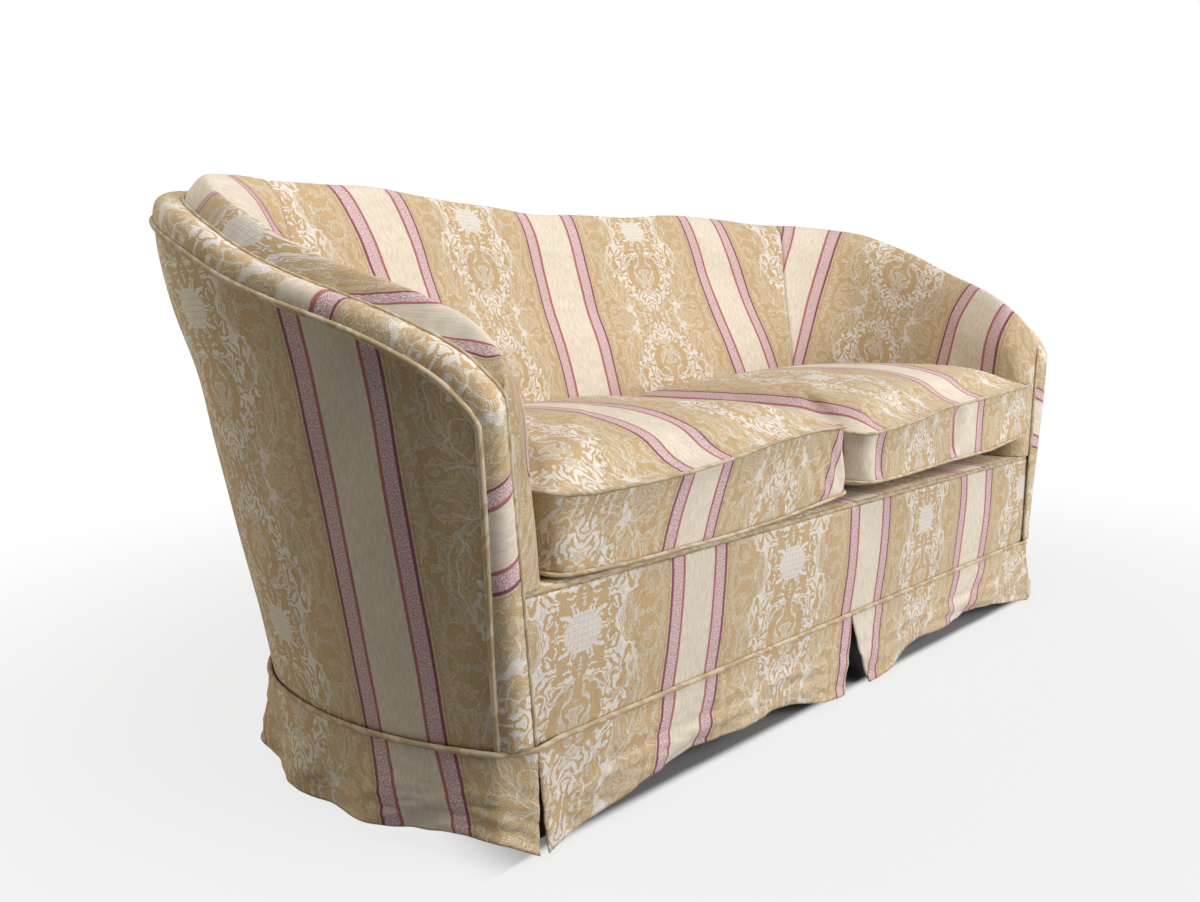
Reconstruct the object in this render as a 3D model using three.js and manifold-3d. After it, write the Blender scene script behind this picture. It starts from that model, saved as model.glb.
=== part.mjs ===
// A two-seat cabriole sofa: back and arms make one continuous sweep round the seat, the whole frame
// is upholstered in a woven stripe, two loose cushions lie on the deck and a skirt hides the feet.
// Millimetres, +Z up, +X to the right of someone facing the sofa, +Y from its front to its back.
// "Left" and "right" are those of someone facing the sofa. The origin is on the floor, below the
// middle of the sofa's outline.
import * as THREE from "three";
import Module from "manifold-3d";

const wasm = await Module();
wasm.setup();

// Driving dimensions

const SEAM = 0.4; // clearance between pieces that are sewn, glued or tacked together
const CLOTH = 2; // upholstery cloth with its interlining
const TIMBER = 32; // thickness of the frame's boards

// The outer line of the sofa in plan, at the height of the skirt seam. "Back" sizes are distances
// behind the plane of the front skirt seam.
const PLAN = {
  halfWidth: 784, // at the widest place
  widestBack: 330, // where the sides are widest
  frontReach: 630, // how gently the sides draw in towards the front
  backReach: 390, // from the widest place to the back
  frontBack: 30, // the outer edge of the arm fronts
};
const PLAN_POWER = 2.6; // of the rounded back: 2 is an ellipse, more is squarer
// Low down the outer edge of an arm's front stands behind its inner edge.
const FRONT_LEAN = { setBack: 20, run: 52 };

// The outside leans outwards as it rises, less at the arm fronts.
const FLARE = { most: 120, topHeight: 760, fullAfter: 580 };
const FLARE_FRONT_SHARE = 0.37;
const FLARE_RISE_SHARES = [
  [0, 0],
  [0.13, 0.11],
  [0.33, 0.3],
  [0.51, 0.47],
  [0.66, 0.6],
  [0.8, 0.81],
  [0.91, 0.91],
  [1, 0.93],
];

const SKIRT = {
  seamHeight: 128,
  hemHeight: 6, // clear of the floor at the panels' ends
  hemArch: 28, // how far the hem rises between them
  flare: 10, // how much further out the hem is than the head
  slit: 8, // between neighbouring panels
  fold: 5, // depth of the soft folds at the hem
  foldPitch: 150,
  corner: 585, // where side and back panels meet, along the outline from the arm front
};
// How the hem rises along a panel, as shares of the panel's length and of the arch. A side panel
// starts at the slit in front, where it has its lowest point.
const HEM_SHARES = {
  front: [
    [0, 0],
    [0.1, 0.3],
    [0.28, 1],
    [0.72, 1],
    [0.9, 0.3],
    [1, 0],
  ],
  side: [
    [0, 0],
    [0.07, 0.95],
    [0.2, 0.8],
    [0.5, 0.4],
    [0.75, 0.5],
    [1, 0.9],
  ],
};

const DECK = { height: 309, front: 16 };

// Height of the outer welt at the arm fronts and at the back's corners, and the wave between them
// and on to the middle of the back, as shares of half the outline's length and of that rise.
const WELT = { armHeight: 500, cornerHeight: 776, radius: 4 };
const WELT_RISE_SHARES = [
  [0, 0],
  [0.008, 0.065],
  [0.028, 0.185],
  [0.06, 0.275],
  [0.1, 0.36],
  [0.18, 0.5],
  [0.23, 0.6],
  [0.3, 0.77],
  [0.36, 0.89],
  [0.43, 0.97],
  [0.52, 1],
  [0.7, 0.985],
  [0.85, 0.945],
  [1, 0.92],
];

// The band is the strip of cloth that faces the arm fronts and runs on over arms and back.
const BAND = { width: 38, rise: 27, frontBulge: 11, backBulge: 18, thick: 5 };
const INNER_WELT_RADIUS = 2.6;
const SKIRT_WELT_RADIUS = 3.6;

// The padding inside arms and back. Insets are measured inwards from the sofa's outer face.
const PAD = {
  crestInset: 72,
  armCrestRise: 26, // above the inner seam
  backCrestRise: 46,
  crestGrowth: 260, // from the corner to where the back's crest stands at its full height
  shoulderInset: 108,
  shoulderDrop: 40, // below the inner seam
  armInset: 108, // thickness of the arm at the seat, at its front
  backInset: 138, // and from the middle of the arm on, and in the back
  thickeningLength: 350,
  frontRoll: 52, // depth of the roll at the arm's front
  seam: 660, // where inside arm and inside back meet, along the outline from the arm front
};
const ROLL_START_SHARE = 0.05; // how wide the arm's rolled front already is at its seam
const PAD_KNEE_SHARES = [0.5, 0.4]; // the face's bend between shoulder and seat

const RAIL = { bottom: 105, belowDeck: 25, inset: 10, topTall: 40, backTall: 60, belowWelt: 10 };
const POST = { front: 16, frontLength: 36, back: 572, backLength: 44, centreWide: 44 };
const CROSS_RAIL = { tall: 70, below: 14 };
const CORNER_BLOCK = { leg: 74, tall: 60, below: 22 };
const FOOT = { top: 54, bottom: 38, back: 52, backInset: 52 };

const WEBBING = { width: 50, thick: 2, pitch: 190, bearing: 20, crossPitch: 150, crossBack: 175 };
const LENGTHWISE_STRAPS = 6;
const CROSS_STRAPS = 3;
const BACK_WEBBING = { width: 46, thick: 2, pitch: 180, lap: 12, clear: 2 };
const BACK_STRAPS_PER_SIDE = 3;
const BACK_GIRTH_SHARES = [0.52, 0.63]; // the girth's edges, from the straps' feet to their heads
const HESSIAN = { thick: 1.2 };
const DUST_COVER = { thick: 1, inset: 10, front: 26 };

const CUSHION = {
  clearance: 10, // to arms and back
  gap: 14, // between the two cushions
  front: 16, // behind the plane of the front skirt seam
  boxTall: 98, // boxing between the two pipings
  belly: 10, // how far the underside hangs below the lower piping
  crown: 38, // how far the top rises above the upper piping
  bulge: 5, // of the boxing
  corner: 30, // half of the length over which a corner is rounded
  piping: 2.6, // radius
};
// How each cushion lies: how far it is pulled forward, and how much its lower piping stands higher
// at its inner and outer end than the deck and belly would have it.
const CUSHION_LIE = {
  left: { forward: 0, innerLift: 6, outerLift: -4 },
  right: { forward: 24, innerLift: 16, outerLift: 40 },
};
// The rings that shape the underside: their sizes, and their rise from the deck to the lower piping.
const UNDERSIDE_SHARES = [
  [0.35, 0],
  [0.7, 0.25],
  [0.9, 0.65],
];
const TOP_SHARES = [0.93, 0.78, 0.55, 0.28]; // sizes of the rings that shape the top
const CROWN_POWER = 2.4;
const ZIP = { length: 380, tall: 12, inset: 300 }; // inset from the sofa's middle to the zip's

// Fineness of the meshes
const PLAN_SAMPLES = 400;
const CLOSER_IN_FRONT_POWER = 1.6; // draws the places on the outline together at the arm fronts
const HALVINGS = 40; // when a place on the outline is sought
const LAYER_POINTS = 18;
const CUSHION_SIDE_POINTS = 24;
const ROUNDING_SAMPLES = 12;
const FOLD_POINTS = 4;
const TUBE_SIDES = 5;
const PAD_ROWS = 8;
const ARM_COLUMNS = 14;
const BACK_COLUMNS = 9; // on one half
const OUTSIDE_ROWS = 7;
const POST_ROWS = 6;
const BAND_ROWS = 4;
const FRONT_ROWS = 4;
const SKIRT_ROWS = 3;
const CUSHION_POINTS = 32;
const BOXING_ROWS = 4;

const look = (color, roughness = 0.9, metalness = 0) =>
  new THREE.MeshStandardMaterial({ color, roughness, metalness });
const CLOTH_LOOK = () => look(0xd9c08c);
const PIPING_LOOK = () => look(0xd6c79b);
const WOOD_LOOK = () => look(0xc09a68, 0.7);
const FOOT_LOOK = () => look(0x3a2119, 0.5);
const FOAM_LOOK = () => look(0xe9dfb8, 1);
const WEBBING_LOOK = () => look(0x8a6f4a, 1);
const HESSIAN_LOOK = () => look(0xa98b5c, 1);
const BLACK_LOOK = () => look(0x1d1c1c, 1);
const BRASS_LOOK = () => look(0xb99a58, 0.4, 1);

// Small mathematics

const lerp = (a, b, t) => a + (b - a) * t;
const clamp01 = (t) => Math.min(1, Math.max(0, t));
const smooth = (t) => clamp01(t) ** 2 * (3 - 2 * clamp01(t));
const steps = (count) => Array.from({ length: count + 1 }, (_, i) => i / count);
const between = (from, to, count) => steps(count).map((t) => lerp(from, to, t));

// A smooth curve through a table of [place, value] rows.
function throughTable(rows, place) {
  const at = clamp01(place);
  let k = 0;
  while (k < rows.length - 2 && rows[k + 1][0] < at) k++;
  const slope = (i) => {
    const before = rows[Math.max(0, i - 1)];
    const after = rows[Math.min(rows.length - 1, i + 1)];
    return (after[1] - before[1]) / (after[0] - before[0]);
  };
  const [x0, y0] = rows[k];
  const [x1, y1] = rows[k + 1];
  const run = x1 - x0;
  const t = (at - x0) / run;
  const rest = 1 - t;
  return (
    y0 * (1 + 2 * t) * rest ** 2 +
    slope(k) * run * t * rest ** 2 +
    y1 * t ** 2 * (3 - 2 * t) -
    slope(k + 1) * run * t ** 2 * rest
  );
}

// The sofa's outline

// Left half of the plan from the arm front, 0, to the middle of the back, 1.
function planCurve(t) {
  const frontPart = PLAN.widestBack / (PLAN.widestBack + PLAN.halfWidth);
  if (t < frontPart) {
    const back = lerp(PLAN.frontBack, PLAN.widestBack, t / frontPart);
    return [-PLAN.halfWidth * Math.sqrt(1 - ((PLAN.widestBack - back) / PLAN.frontReach) ** 2), back];
  }
  const turn = (((t - frontPart) / (1 - frontPart)) * Math.PI) / 2;
  return [
    -PLAN.halfWidth * Math.max(0, Math.cos(turn)) ** (2 / PLAN_POWER),
    PLAN.widestBack + PLAN.backReach * Math.sin(turn) ** (2 / PLAN_POWER),
  ];
}
const planTable = steps(PLAN_SAMPLES).map((t) => [...planCurve(t), 0]);
for (let i = 1; i <= PLAN_SAMPLES; i++) {
  const [x0, y0, length] = planTable[i - 1];
  const [x1, y1] = planTable[i];
  planTable[i][2] = length + Math.hypot(x1 - x0, y1 - y0);
}
const HALF_LENGTH = planTable[PLAN_SAMPLES][2];
const TINY = HALF_LENGTH / 4000; // step for measuring slopes
const DIRECTION_REACH = HALF_LENGTH / 60; // either way of a place whose direction is measured
const FRONT_TURN = HALF_LENGTH / 7; // over which the direction inwards turns square to the outline

function planPoint(along) {
  const mirrored = along > HALF_LENGTH; // past the middle of the back
  const length = Math.max(0, mirrored ? 2 * HALF_LENGTH - along : along);
  let low = 0;
  let high = PLAN_SAMPLES;
  while (high - low > 1) {
    const middle = (low + high) >> 1;
    if (planTable[middle][2] <= length) low = middle;
    else high = middle;
  }
  const [x0, y0, l0] = planTable[low];
  const [x1, y1, l1] = planTable[high];
  const t = (length - l0) / (l1 - l0);
  const x = lerp(x0, x1, t);
  return [mirrored ? -x : x, lerp(y0, y1, t)];
}
// The direction inwards. At the arm front it points straight across the sofa, further back square
// to the outline.
function inwards(along) {
  const [xa, ya] = planPoint(Math.max(0, along - DIRECTION_REACH));
  const [xb, yb] = planPoint(along + DIRECTION_REACH);
  const turned = smooth(along / FRONT_TURN);
  const direction = new THREE.Vector2(yb - ya, xa - xb).normalize();
  return new THREE.Vector2(lerp(1, direction.x, turned), lerp(0, direction.y, turned)).normalize();
}

function flareAt(along, height) {
  const rise = (height - SKIRT.seamHeight) / (FLARE.topHeight - SKIRT.seamHeight);
  const share = lerp(FLARE_FRONT_SHARE, 1, smooth(along / FLARE.fullAfter));
  return FLARE.most * share * throughTable(FLARE_RISE_SHARES, rise);
}

// Near the arm's front a place is drawn forward of the outline, by this share of the front's lean.
function leanShare(inset, height) {
  const rise = smooth((height - SKIRT.seamHeight) / (WELT.armHeight - SKIRT.seamHeight));
  return lerp(clamp01(inset / BAND.width), 1, rise);
}

const FULL_FLARE = FLARE.most * FLARE_RISE_SHARES[FLARE_RISE_SHARES.length - 1][1];
const REAR = PLAN.widestBack + PLAN.backReach + FULL_FLARE + WELT.radius;
const FOREMOST = CUSHION.front - CUSHION_LIE.right.forward - SEAM - 2 * CUSHION.piping;
const SHIFT = -(REAR + FOREMOST) / 2; // puts the origin below the middle of the outline

// A point of the body. Along is the distance on the outline from the left arm front, over the back
// to the right arm front; inset is measured inwards from the outer face at that height.
function bodyPoint(along, inset, height) {
  if (along > HALF_LENGTH) {
    const twin = bodyPoint(2 * HALF_LENGTH - along, inset, height);
    return new THREE.Vector3(-twin.x, twin.y, twin.z);
  }
  const [x, y] = planPoint(along);
  const direction = inwards(along);
  const moved = inset - flareAt(along, height);
  const drawn = FRONT_LEAN.setBack * leanShare(inset, height) * (1 - smooth(along / FRONT_LEAN.run));
  return new THREE.Vector3(x + direction.x * moved, y + direction.y * moved - drawn + SHIFT, height);
}
const folded = (along) => (along > HALF_LENGTH ? 2 * HALF_LENGTH - along : along);
const weltHeight = (along) =>
  lerp(WELT.armHeight, WELT.cornerHeight, throughTable(WELT_RISE_SHARES, folded(along) / HALF_LENGTH));
const innerSeamHeight = (along) => weltHeight(along) + BAND.rise;

// The places along the outline at which every swept piece has its corners, closer together at the
// arm fronts.
const armPlaces = steps(ARM_COLUMNS).map((t) => PAD.seam * t ** CLOSER_IN_FRONT_POWER);
const halfPlaces = [...armPlaces, ...between(PAD.seam, HALF_LENGTH, BACK_COLUMNS).slice(1)];
const allPlaces = [...halfPlaces, ...halfPlaces.slice(0, -1).map((t) => 2 * HALF_LENGTH - t).reverse()];
const columns = (from, to) => [from, ...allPlaces.filter((t) => t > from + SEAM && t < to - SEAM), to];
const backEnd = 2 * HALF_LENGTH - PAD.seam;

// Builders of closed solids

function closedSolid(points, triangles) {
  let volume = 0;
  for (const [a, b, c] of triangles)
    volume += points[a].dot(new THREE.Vector3().crossVectors(points[b], points[c]));
  const index = triangles.flatMap(([a, b, c]) => (volume < 0 ? [a, c, b] : [a, b, c]));
  return new THREE.BufferGeometry().setFromPoints(points).setIndex(index);
}

// A curved slab between two surfaces, each a function of a place across and a place along.
function slab(across, along, face, backing) {
  const points = [];
  for (const side of [face, backing]) {
    for (const s of across) for (const t of along) points.push(side(s, t));
  }
  const columns = along.length;
  const layer = across.length * columns;
  const id = (i, j, k) => k * layer + i * columns + j;
  const triangles = [];
  const quad = (a, b, c, d) => triangles.push([a, b, c], [a, c, d]);
  const lastRow = across.length - 1;
  const lastColumn = columns - 1;
  for (let i = 0; i < lastRow; i++) {
    for (let j = 0; j < lastColumn; j++) {
      quad(id(i, j, 0), id(i + 1, j, 0), id(i + 1, j + 1, 0), id(i, j + 1, 0));
      quad(id(i, j, 1), id(i, j + 1, 1), id(i + 1, j + 1, 1), id(i + 1, j, 1));
    }
    quad(id(i, 0, 0), id(i, 0, 1), id(i + 1, 0, 1), id(i + 1, 0, 0));
    quad(id(i, lastColumn, 1), id(i, lastColumn, 0), id(i + 1, lastColumn, 0), id(i + 1, lastColumn, 1));
  }
  for (let j = 0; j < lastColumn; j++) {
    quad(id(0, j, 1), id(0, j, 0), id(0, j + 1, 0), id(0, j + 1, 1));
    quad(id(lastRow, j, 0), id(lastRow, j, 1), id(lastRow, j + 1, 1), id(lastRow, j + 1, 0));
  }
  return closedSolid(points, triangles);
}

// The surface that lies a depth below another one.
function below(surface, depth, acrossRange, alongRange) {
  const slope = (low, high, at, probe, of) => {
    const a = Math.max(low, at - probe);
    const b = Math.min(high, at + probe);
    return of(b).sub(of(a));
  };
  return (s, t) => {
    const acrossProbe = (acrossRange[1] - acrossRange[0]) / 1000;
    const ds = slope(...acrossRange, s, acrossProbe, (at) => surface(at, t));
    const dt = slope(...alongRange, t, TINY, (at) => surface(s, at));
    return surface(s, t).addScaledVector(ds.cross(dt).normalize(), -depth);
  };
}
const ends = (values) => [values[0], values[values.length - 1]];

// A piece of cloth of even thickness below a surface.
const cloth = (across, along, surface, thick = CLOTH) =>
  slab(across, along, surface, below(surface, thick, ends(across), ends(along)));

// A line straight from point to point, for cords that follow the same points as their cloth.
class SeamLine extends THREE.Curve {
  constructor(points) {
    super();
    this.points = points;
  }
  getPoint(t) {
    const place = clamp01(t) * (this.points.length - 1);
    const k = Math.min(this.points.length - 2, Math.floor(place));
    return this.points[k].clone().lerp(this.points[k + 1], place - k);
  }
  getUtoTmapping(u) {
    return u;
  }
}
function roundTube(points, radius) {
  const ring = steps(TUBE_SIDES).slice(1);
  const corner = (t) => new THREE.Vector2(Math.cos(2 * Math.PI * t), Math.sin(2 * Math.PI * t));
  const section = new THREE.Shape(ring.map((t) => corner(t).multiplyScalar(radius)));
  const extrudePath = new SeamLine(points);
  return new THREE.ExtrudeGeometry(section, { steps: points.length - 1, bevelEnabled: false, extrudePath });
}

// A flat outline, seen from above, from one height to another.
function board(outline, low, high) {
  const shape = new THREE.Shape(outline.map((p) => new THREE.Vector2(p.x, p.y)));
  return new THREE.ExtrudeGeometry(shape, { depth: high - low, bevelEnabled: false }).translate(0, 0, low);
}
function box(x0, x1, y0, y1, z0, z1) {
  const block = new THREE.BoxGeometry(x1 - x0, y1 - y0, z1 - z0);
  return block.translate((x0 + x1) / 2, (y0 + y1) / 2, (z0 + z1) / 2);
}
function mirrored(geometry) {
  const plain = geometry.index ? geometry.toNonIndexed() : geometry.clone();
  plain.scale(-1, 1, 1);
  const count = plain.attributes.position.count;
  const order = [];
  for (let i = 0; i < count; i += 3) order.push(i, i + 2, i + 1);
  return plain.setIndex(order);
}

// manifold-3d's solid of a geometry, and back.
function solidOf(geometry) {
  const plain = geometry.index ? geometry.toNonIndexed() : geometry;
  const grid = 1e4; // corners that agree to a ten-thousandth are one corner
  const numbers = new Map();
  const vertices = [];
  const triangles = [];
  const position = plain.attributes.position;
  for (let i = 0; i < position.count; i++) {
    const xyz = [position.getX(i), position.getY(i), position.getZ(i)];
    const key = xyz.map((value) => Math.round(value * grid)).join();
    if (!numbers.has(key)) {
      numbers.set(key, vertices.length / 3);
      vertices.push(...xyz);
    }
    triangles.push(numbers.get(key));
  }
  const mesh = new wasm.Mesh({
    numProp: 3,
    vertProperties: new Float32Array(vertices),
    triVerts: new Uint32Array(triangles),
  });
  return new wasm.Manifold(mesh);
}
function geometryOf(solid) {
  const mesh = solid.getMesh();
  return new THREE.BufferGeometry()
    .setAttribute("position", new THREE.BufferAttribute(new Float32Array(mesh.vertProperties), 3))
    .setIndex(Array.from(mesh.triVerts));
}
const cut = (whole, ...tools) =>
  geometryOf(tools.reduce((solid, tool) => solid.subtract(solidOf(tool)), solidOf(whole)));
const joined = (parts) =>
  geometryOf(parts.slice(1).reduce((solid, part) => solid.add(solidOf(part)), solidOf(parts[0])));

const sofa = new THREE.Group();
function add(name, geometry, material) {
  const mesh = new THREE.Mesh(geometry, material);
  mesh.name = name;
  sofa.add(mesh);
}
const SIDES = [
  ["left", (geometry) => geometry],
  ["right", (geometry) => mirrored(geometry)],
];

// Frame

// A board that follows the outline, from a height to a height that may change along it.
const level = (height) => () => height;
function sweptBoard(along, inset, thick, low, high, rows = 1) {
  const face = (depth) => (s, t) => bodyPoint(t, depth, lerp(low(folded(t)), high(folded(t)), s));
  return slab(steps(rows), along, face(inset), face(inset + thick));
}
const railTop = DECK.height - RAIL.belowDeck;
const frameInside = RAIL.inset + TIMBER;
const frameTop = (along) => weltHeight(along) - RAIL.belowWelt;
const backRailLow = (along) => frameTop(along) - RAIL.backTall;
const postEnd = POST.front + POST.frontLength;
const cornerPostEnd = POST.back + POST.backLength;
const armRun = columns(postEnd + SEAM, POST.back - SEAM);
const backRun = columns(cornerPostEnd + SEAM, 2 * HALF_LENGTH - cornerPostEnd - SEAM);
const timber = (along, low, high, rows) => sweptBoard(along, RAIL.inset, TIMBER, low, high, rows);

const sideFrame = {
  arm_post: timber(columns(POST.front, postEnd), level(RAIL.bottom), frameTop, POST_ROWS),
  seat_rail: timber(armRun, level(RAIL.bottom), level(railTop)),
  arm_top_rail: timber(armRun, (along) => frameTop(along) - RAIL.topTall, frameTop),
  back_corner_post: timber(columns(POST.back, cornerPostEnd), level(RAIL.bottom), frameTop, POST_ROWS),
};
for (const [side, turned] of SIDES) {
  for (const [name, piece] of Object.entries(sideFrame)) add(`${name}_${side}`, turned(piece), WOOD_LOOK());
}
add("seat_rail_back", timber(backRun, level(RAIL.bottom), level(railTop)), WOOD_LOOK());
add("back_top_rail", timber(backRun, backRailLow, frameTop), WOOD_LOOK());
const centrePost = columns(HALF_LENGTH - POST.centreWide / 2, HALF_LENGTH + POST.centreWide / 2);
const centrePostTop = (along) => backRailLow(along) - SEAM;
add("back_centre_post", timber(centrePost, level(railTop + SEAM), centrePostTop, POST_ROWS), WOOD_LOOK());

// The front seat rail stands between the arm posts.
const railFace = DECK.front + CLOTH + SEAM;
const railBack = railFace + TIMBER;
const postInside = bodyPoint(POST.front, frameInside, RAIL.bottom).x;
const frontRailEnd = -postInside - SEAM;
add(
  "seat_rail_front",
  box(-frontRailEnd, frontRailEnd, railFace + SHIFT, railBack + SHIFT, RAIL.bottom, railTop),
  WOOD_LOOK(),
);
const crossRailTop = railTop - CROSS_RAIL.below;
add(
  "seat_cross_rail",
  box(
    -TIMBER / 2,
    TIMBER / 2,
    railBack + SHIFT + SEAM,
    bodyPoint(HALF_LENGTH, frameInside, RAIL.bottom).y - SEAM,
    crossRailTop - CROSS_RAIL.tall,
    crossRailTop,
  ),
  WOOD_LOOK(),
);

// Corner blocks: wood in the four corners of the seat frame. Each fits the frame's inner faces,
// whose corners are at the shared places.
const blockTop = railTop - CORNER_BLOCK.below;
const blockLow = blockTop - CORNER_BLOCK.tall;
const blockFace = (along) => bodyPoint(along, frameInside + SEAM / 2, blockLow);
const sharedWithin = (from, to) => allPlaces.filter((along) => along > from && along < to);
const blockFront = railBack + SHIFT + SEAM;
const cornerBlocks = {
  front: [
    ...sharedWithin(postEnd, postEnd + 2 * CORNER_BLOCK.leg).map(blockFace),
    new THREE.Vector2(postInside + CORNER_BLOCK.leg, blockFront),
    new THREE.Vector2(postInside + SEAM, blockFront),
  ],
  back: [
    ...sharedWithin(POST.back - CORNER_BLOCK.leg, POST.back).map(blockFace),
    blockFace(POST.back),
    blockFace(cornerPostEnd),
    ...sharedWithin(cornerPostEnd, cornerPostEnd + CORNER_BLOCK.leg).map(blockFace),
  ],
};
for (const [side, turned] of SIDES) {
  for (const [end, outline] of Object.entries(cornerBlocks)) {
    const block = board(outline, blockLow, blockTop);
    add(`corner_block_${end}_${side}`, turned(block), WOOD_LOOK());
  }
}

// Feet: square blocks that taper downwards, under the frame's corners and the front rail's middle.
const FOOT_SIDES = 4;
const footTop = RAIL.bottom - SEAM;
const footRadii = [FOOT.top / Math.SQRT2, FOOT.bottom / Math.SQRT2];
const cornerFoot = bodyPoint(SKIRT.corner, FOOT.backInset, RAIL.bottom);
const frontFootX = postInside + FOOT.top / 4;
const feet = {
  front_left: [frontFootX, FOOT.back + SHIFT],
  front_centre: [0, FOOT.back + SHIFT],
  front_right: [-frontFootX, FOOT.back + SHIFT],
  back_left: [cornerFoot.x, cornerFoot.y],
  back_right: [-cornerFoot.x, cornerFoot.y],
};
for (const [name, [x, y]] of Object.entries(feet)) {
  const block = new THREE.CylinderGeometry(...footRadii, footTop, FOOT_SIDES)
    .rotateY(Math.PI / FOOT_SIDES)
    .rotateX(Math.PI / 2)
    .translate(x, y, footTop / 2);
  add(`foot_${name}`, block, FOOT_LOOK());
}

// Seat platform

// Where a line across the seat meets the outline at an inset: how far back at a given x, and how
// far out at a given distance back.
function meets(test, inset, height) {
  let low = 0;
  let high = HALF_LENGTH;
  for (let i = 0; i < HALVINGS; i++) {
    const middle = (low + high) / 2;
    if (test(bodyPoint(middle, inset, height))) low = middle;
    else high = middle;
  }
  return bodyPoint(low, inset, height);
}
const railHold = frameInside - WEBBING.bearing;
const strapLow = railTop + SEAM;
const strapHigh = strapLow + WEBBING.thick;
const seatStraps = [];
for (let i = 0; i < LENGTHWISE_STRAPS; i++) {
  const x = (i - (LENGTHWISE_STRAPS - 1) / 2) * WEBBING.pitch;
  const outer = -Math.abs(x) - WEBBING.width / 2;
  const rear = meets((p) => p.y < PLAN.widestBack + SHIFT || p.x < outer, railHold, railTop).y;
  seatStraps.push(
    box(
      x - WEBBING.width / 2,
      x + WEBBING.width / 2,
      railBack - WEBBING.bearing + SHIFT,
      rear,
      strapLow,
      strapHigh,
    ),
  );
}
for (let i = 0; i < CROSS_STRAPS; i++) {
  const back = WEBBING.crossBack + i * WEBBING.crossPitch + SHIFT;
  const reach = (y) => -meets((p) => p.y < y, railHold, railTop).x;
  const half = Math.min(reach(back - WEBBING.width / 2), reach(back + WEBBING.width / 2));
  const rear = back + WEBBING.width / 2;
  seatStraps.push(box(-half, half, back - WEBBING.width / 2, rear, strapLow, strapHigh));
}
add("seat_webbing", joined(seatStraps), WEBBING_LOOK());

// Outline of a flat layer of the seat: straight in front, and inset from the body elsewhere.
function layerOutline(front, inset, height, count) {
  const start = meets((p) => p.y < front + SHIFT, inset, height);
  const first = between(0, HALF_LENGTH, count).filter((t) => bodyPoint(t, inset, height).y > start.y);
  const left = [start, ...first.map((t) => bodyPoint(t, inset, height))];
  left[left.length - 1].x = 0;
  const right = left.slice(0, -1).map((p) => new THREE.Vector3(-p.x, p.y, p.z));
  return [...left, ...right.reverse()].reverse();
}
const hessianLow = strapHigh + SEAM;
const hessianHigh = hessianLow + HESSIAN.thick;
const hessianFront = railFace + SEAM;
const deckBack = DECK.front + 2 * WELT.radius + SEAM; // the deck cloth starts behind its welt
const coverLow = DECK.height - CLOTH;
const backStrapInset = frameInside + BACK_WEBBING.clear;
const padInset = backStrapInset + BACK_WEBBING.thick + 2 * BACK_WEBBING.clear;
const seatLayer = (front, inset, low, high) =>
  board(layerOutline(front, inset, railTop, LAYER_POINTS), low, high);
const hessian = seatLayer(hessianFront, frameInside + CLOTH, hessianLow, hessianHigh);
add("deck_hessian", hessian, HESSIAN_LOOK());
add("deck_padding", seatLayer(deckBack, padInset, hessianHigh + SEAM, coverLow - SEAM), FOAM_LOOK());
add("deck_cover", seatLayer(deckBack, padInset, coverLow, DECK.height), CLOTH_LOOK());

// The dust cover below the frame is cut out round the feet.
const dustHigh = RAIL.bottom - SEAM;
const footHoles = Object.values(feet).map(([x, y]) => {
  const half = FOOT.top / 2 + SEAM;
  return box(x - half, x + half, y - half, y + half, dustHigh - 2 * DUST_COVER.thick, dustHigh + SEAM);
});
const dustOutline = layerOutline(DUST_COVER.front, DUST_COVER.inset, RAIL.bottom, LAYER_POINTS);
const dustSheet = board(dustOutline, dustHigh - DUST_COVER.thick, dustHigh);
add("dust_cover", cut(dustSheet, ...footHoles), BLACK_LOOK());

// Apron: the cloth over the front seat rail.
const skirtHead = SKIRT.seamHeight - SKIRT_WELT_RADIUS - SEAM;
const bandInside = bodyPoint(0, BAND.width, SKIRT.seamHeight).x;
const apronEnd = -bandInside - CLOTH;
const apronTop = DECK.height - WELT.radius * 2 - SEAM;
const apronFront = DECK.front + SHIFT;
const apron = box(-apronEnd, apronEnd, apronFront, apronFront + CLOTH, skirtHead, apronTop);
add("apron_cover", apron, CLOTH_LOOK());

// Covers and padding inside arms and back

// The padding's section at a place: from the inner seam over the crest and down to the deck. Near
// the arm front all of it is drawn together to the seam, which gives the arm its rolled front.
const padEdge = BAND.width + INNER_WELT_RADIUS + SEAM;
const padLow = DECK.height + SEAM;
const armStart = INNER_WELT_RADIUS + SEAM;
function padSurface(share, along) {
  const place = folded(along);
  const seam = innerSeamHeight(place);
  const turn = 1 - clamp01((place - armStart) / PAD.frontRoll);
  const roll = lerp(ROLL_START_SHARE, 1, Math.sqrt(1 - turn ** 2));
  const seat = lerp(PAD.armInset, PAD.backInset, smooth(place / PAD.thickeningLength));
  const drawn = (inset) => lerp(padEdge, inset, roll);
  const crestRise = lerp(PAD.armCrestRise, PAD.backCrestRise, smooth((place - PAD.seam) / PAD.crestGrowth));
  const shoulder = seam - PAD.shoulderDrop;
  const curve = new THREE.SplineCurve([
    new THREE.Vector2(padEdge, seam),
    new THREE.Vector2(drawn(PAD.crestInset), seam + crestRise * roll),
    new THREE.Vector2(drawn(PAD.shoulderInset), shoulder),
    new THREE.Vector2(
      drawn(lerp(PAD.shoulderInset, seat, PAD_KNEE_SHARES[0])),
      lerp(shoulder, padLow, PAD_KNEE_SHARES[1]),
    ),
    new THREE.Vector2(drawn(seat), padLow),
  ]);
  const p = curve.getPoint(share);
  return bodyPoint(along, p.x, Math.max(padLow, p.y));
}
const padRows = steps(PAD_ROWS);
const foamRows = padRows.slice(1);
const standing = (p) => new THREE.Vector3(p.x, p.y, Math.max(padLow, p.z));
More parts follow.
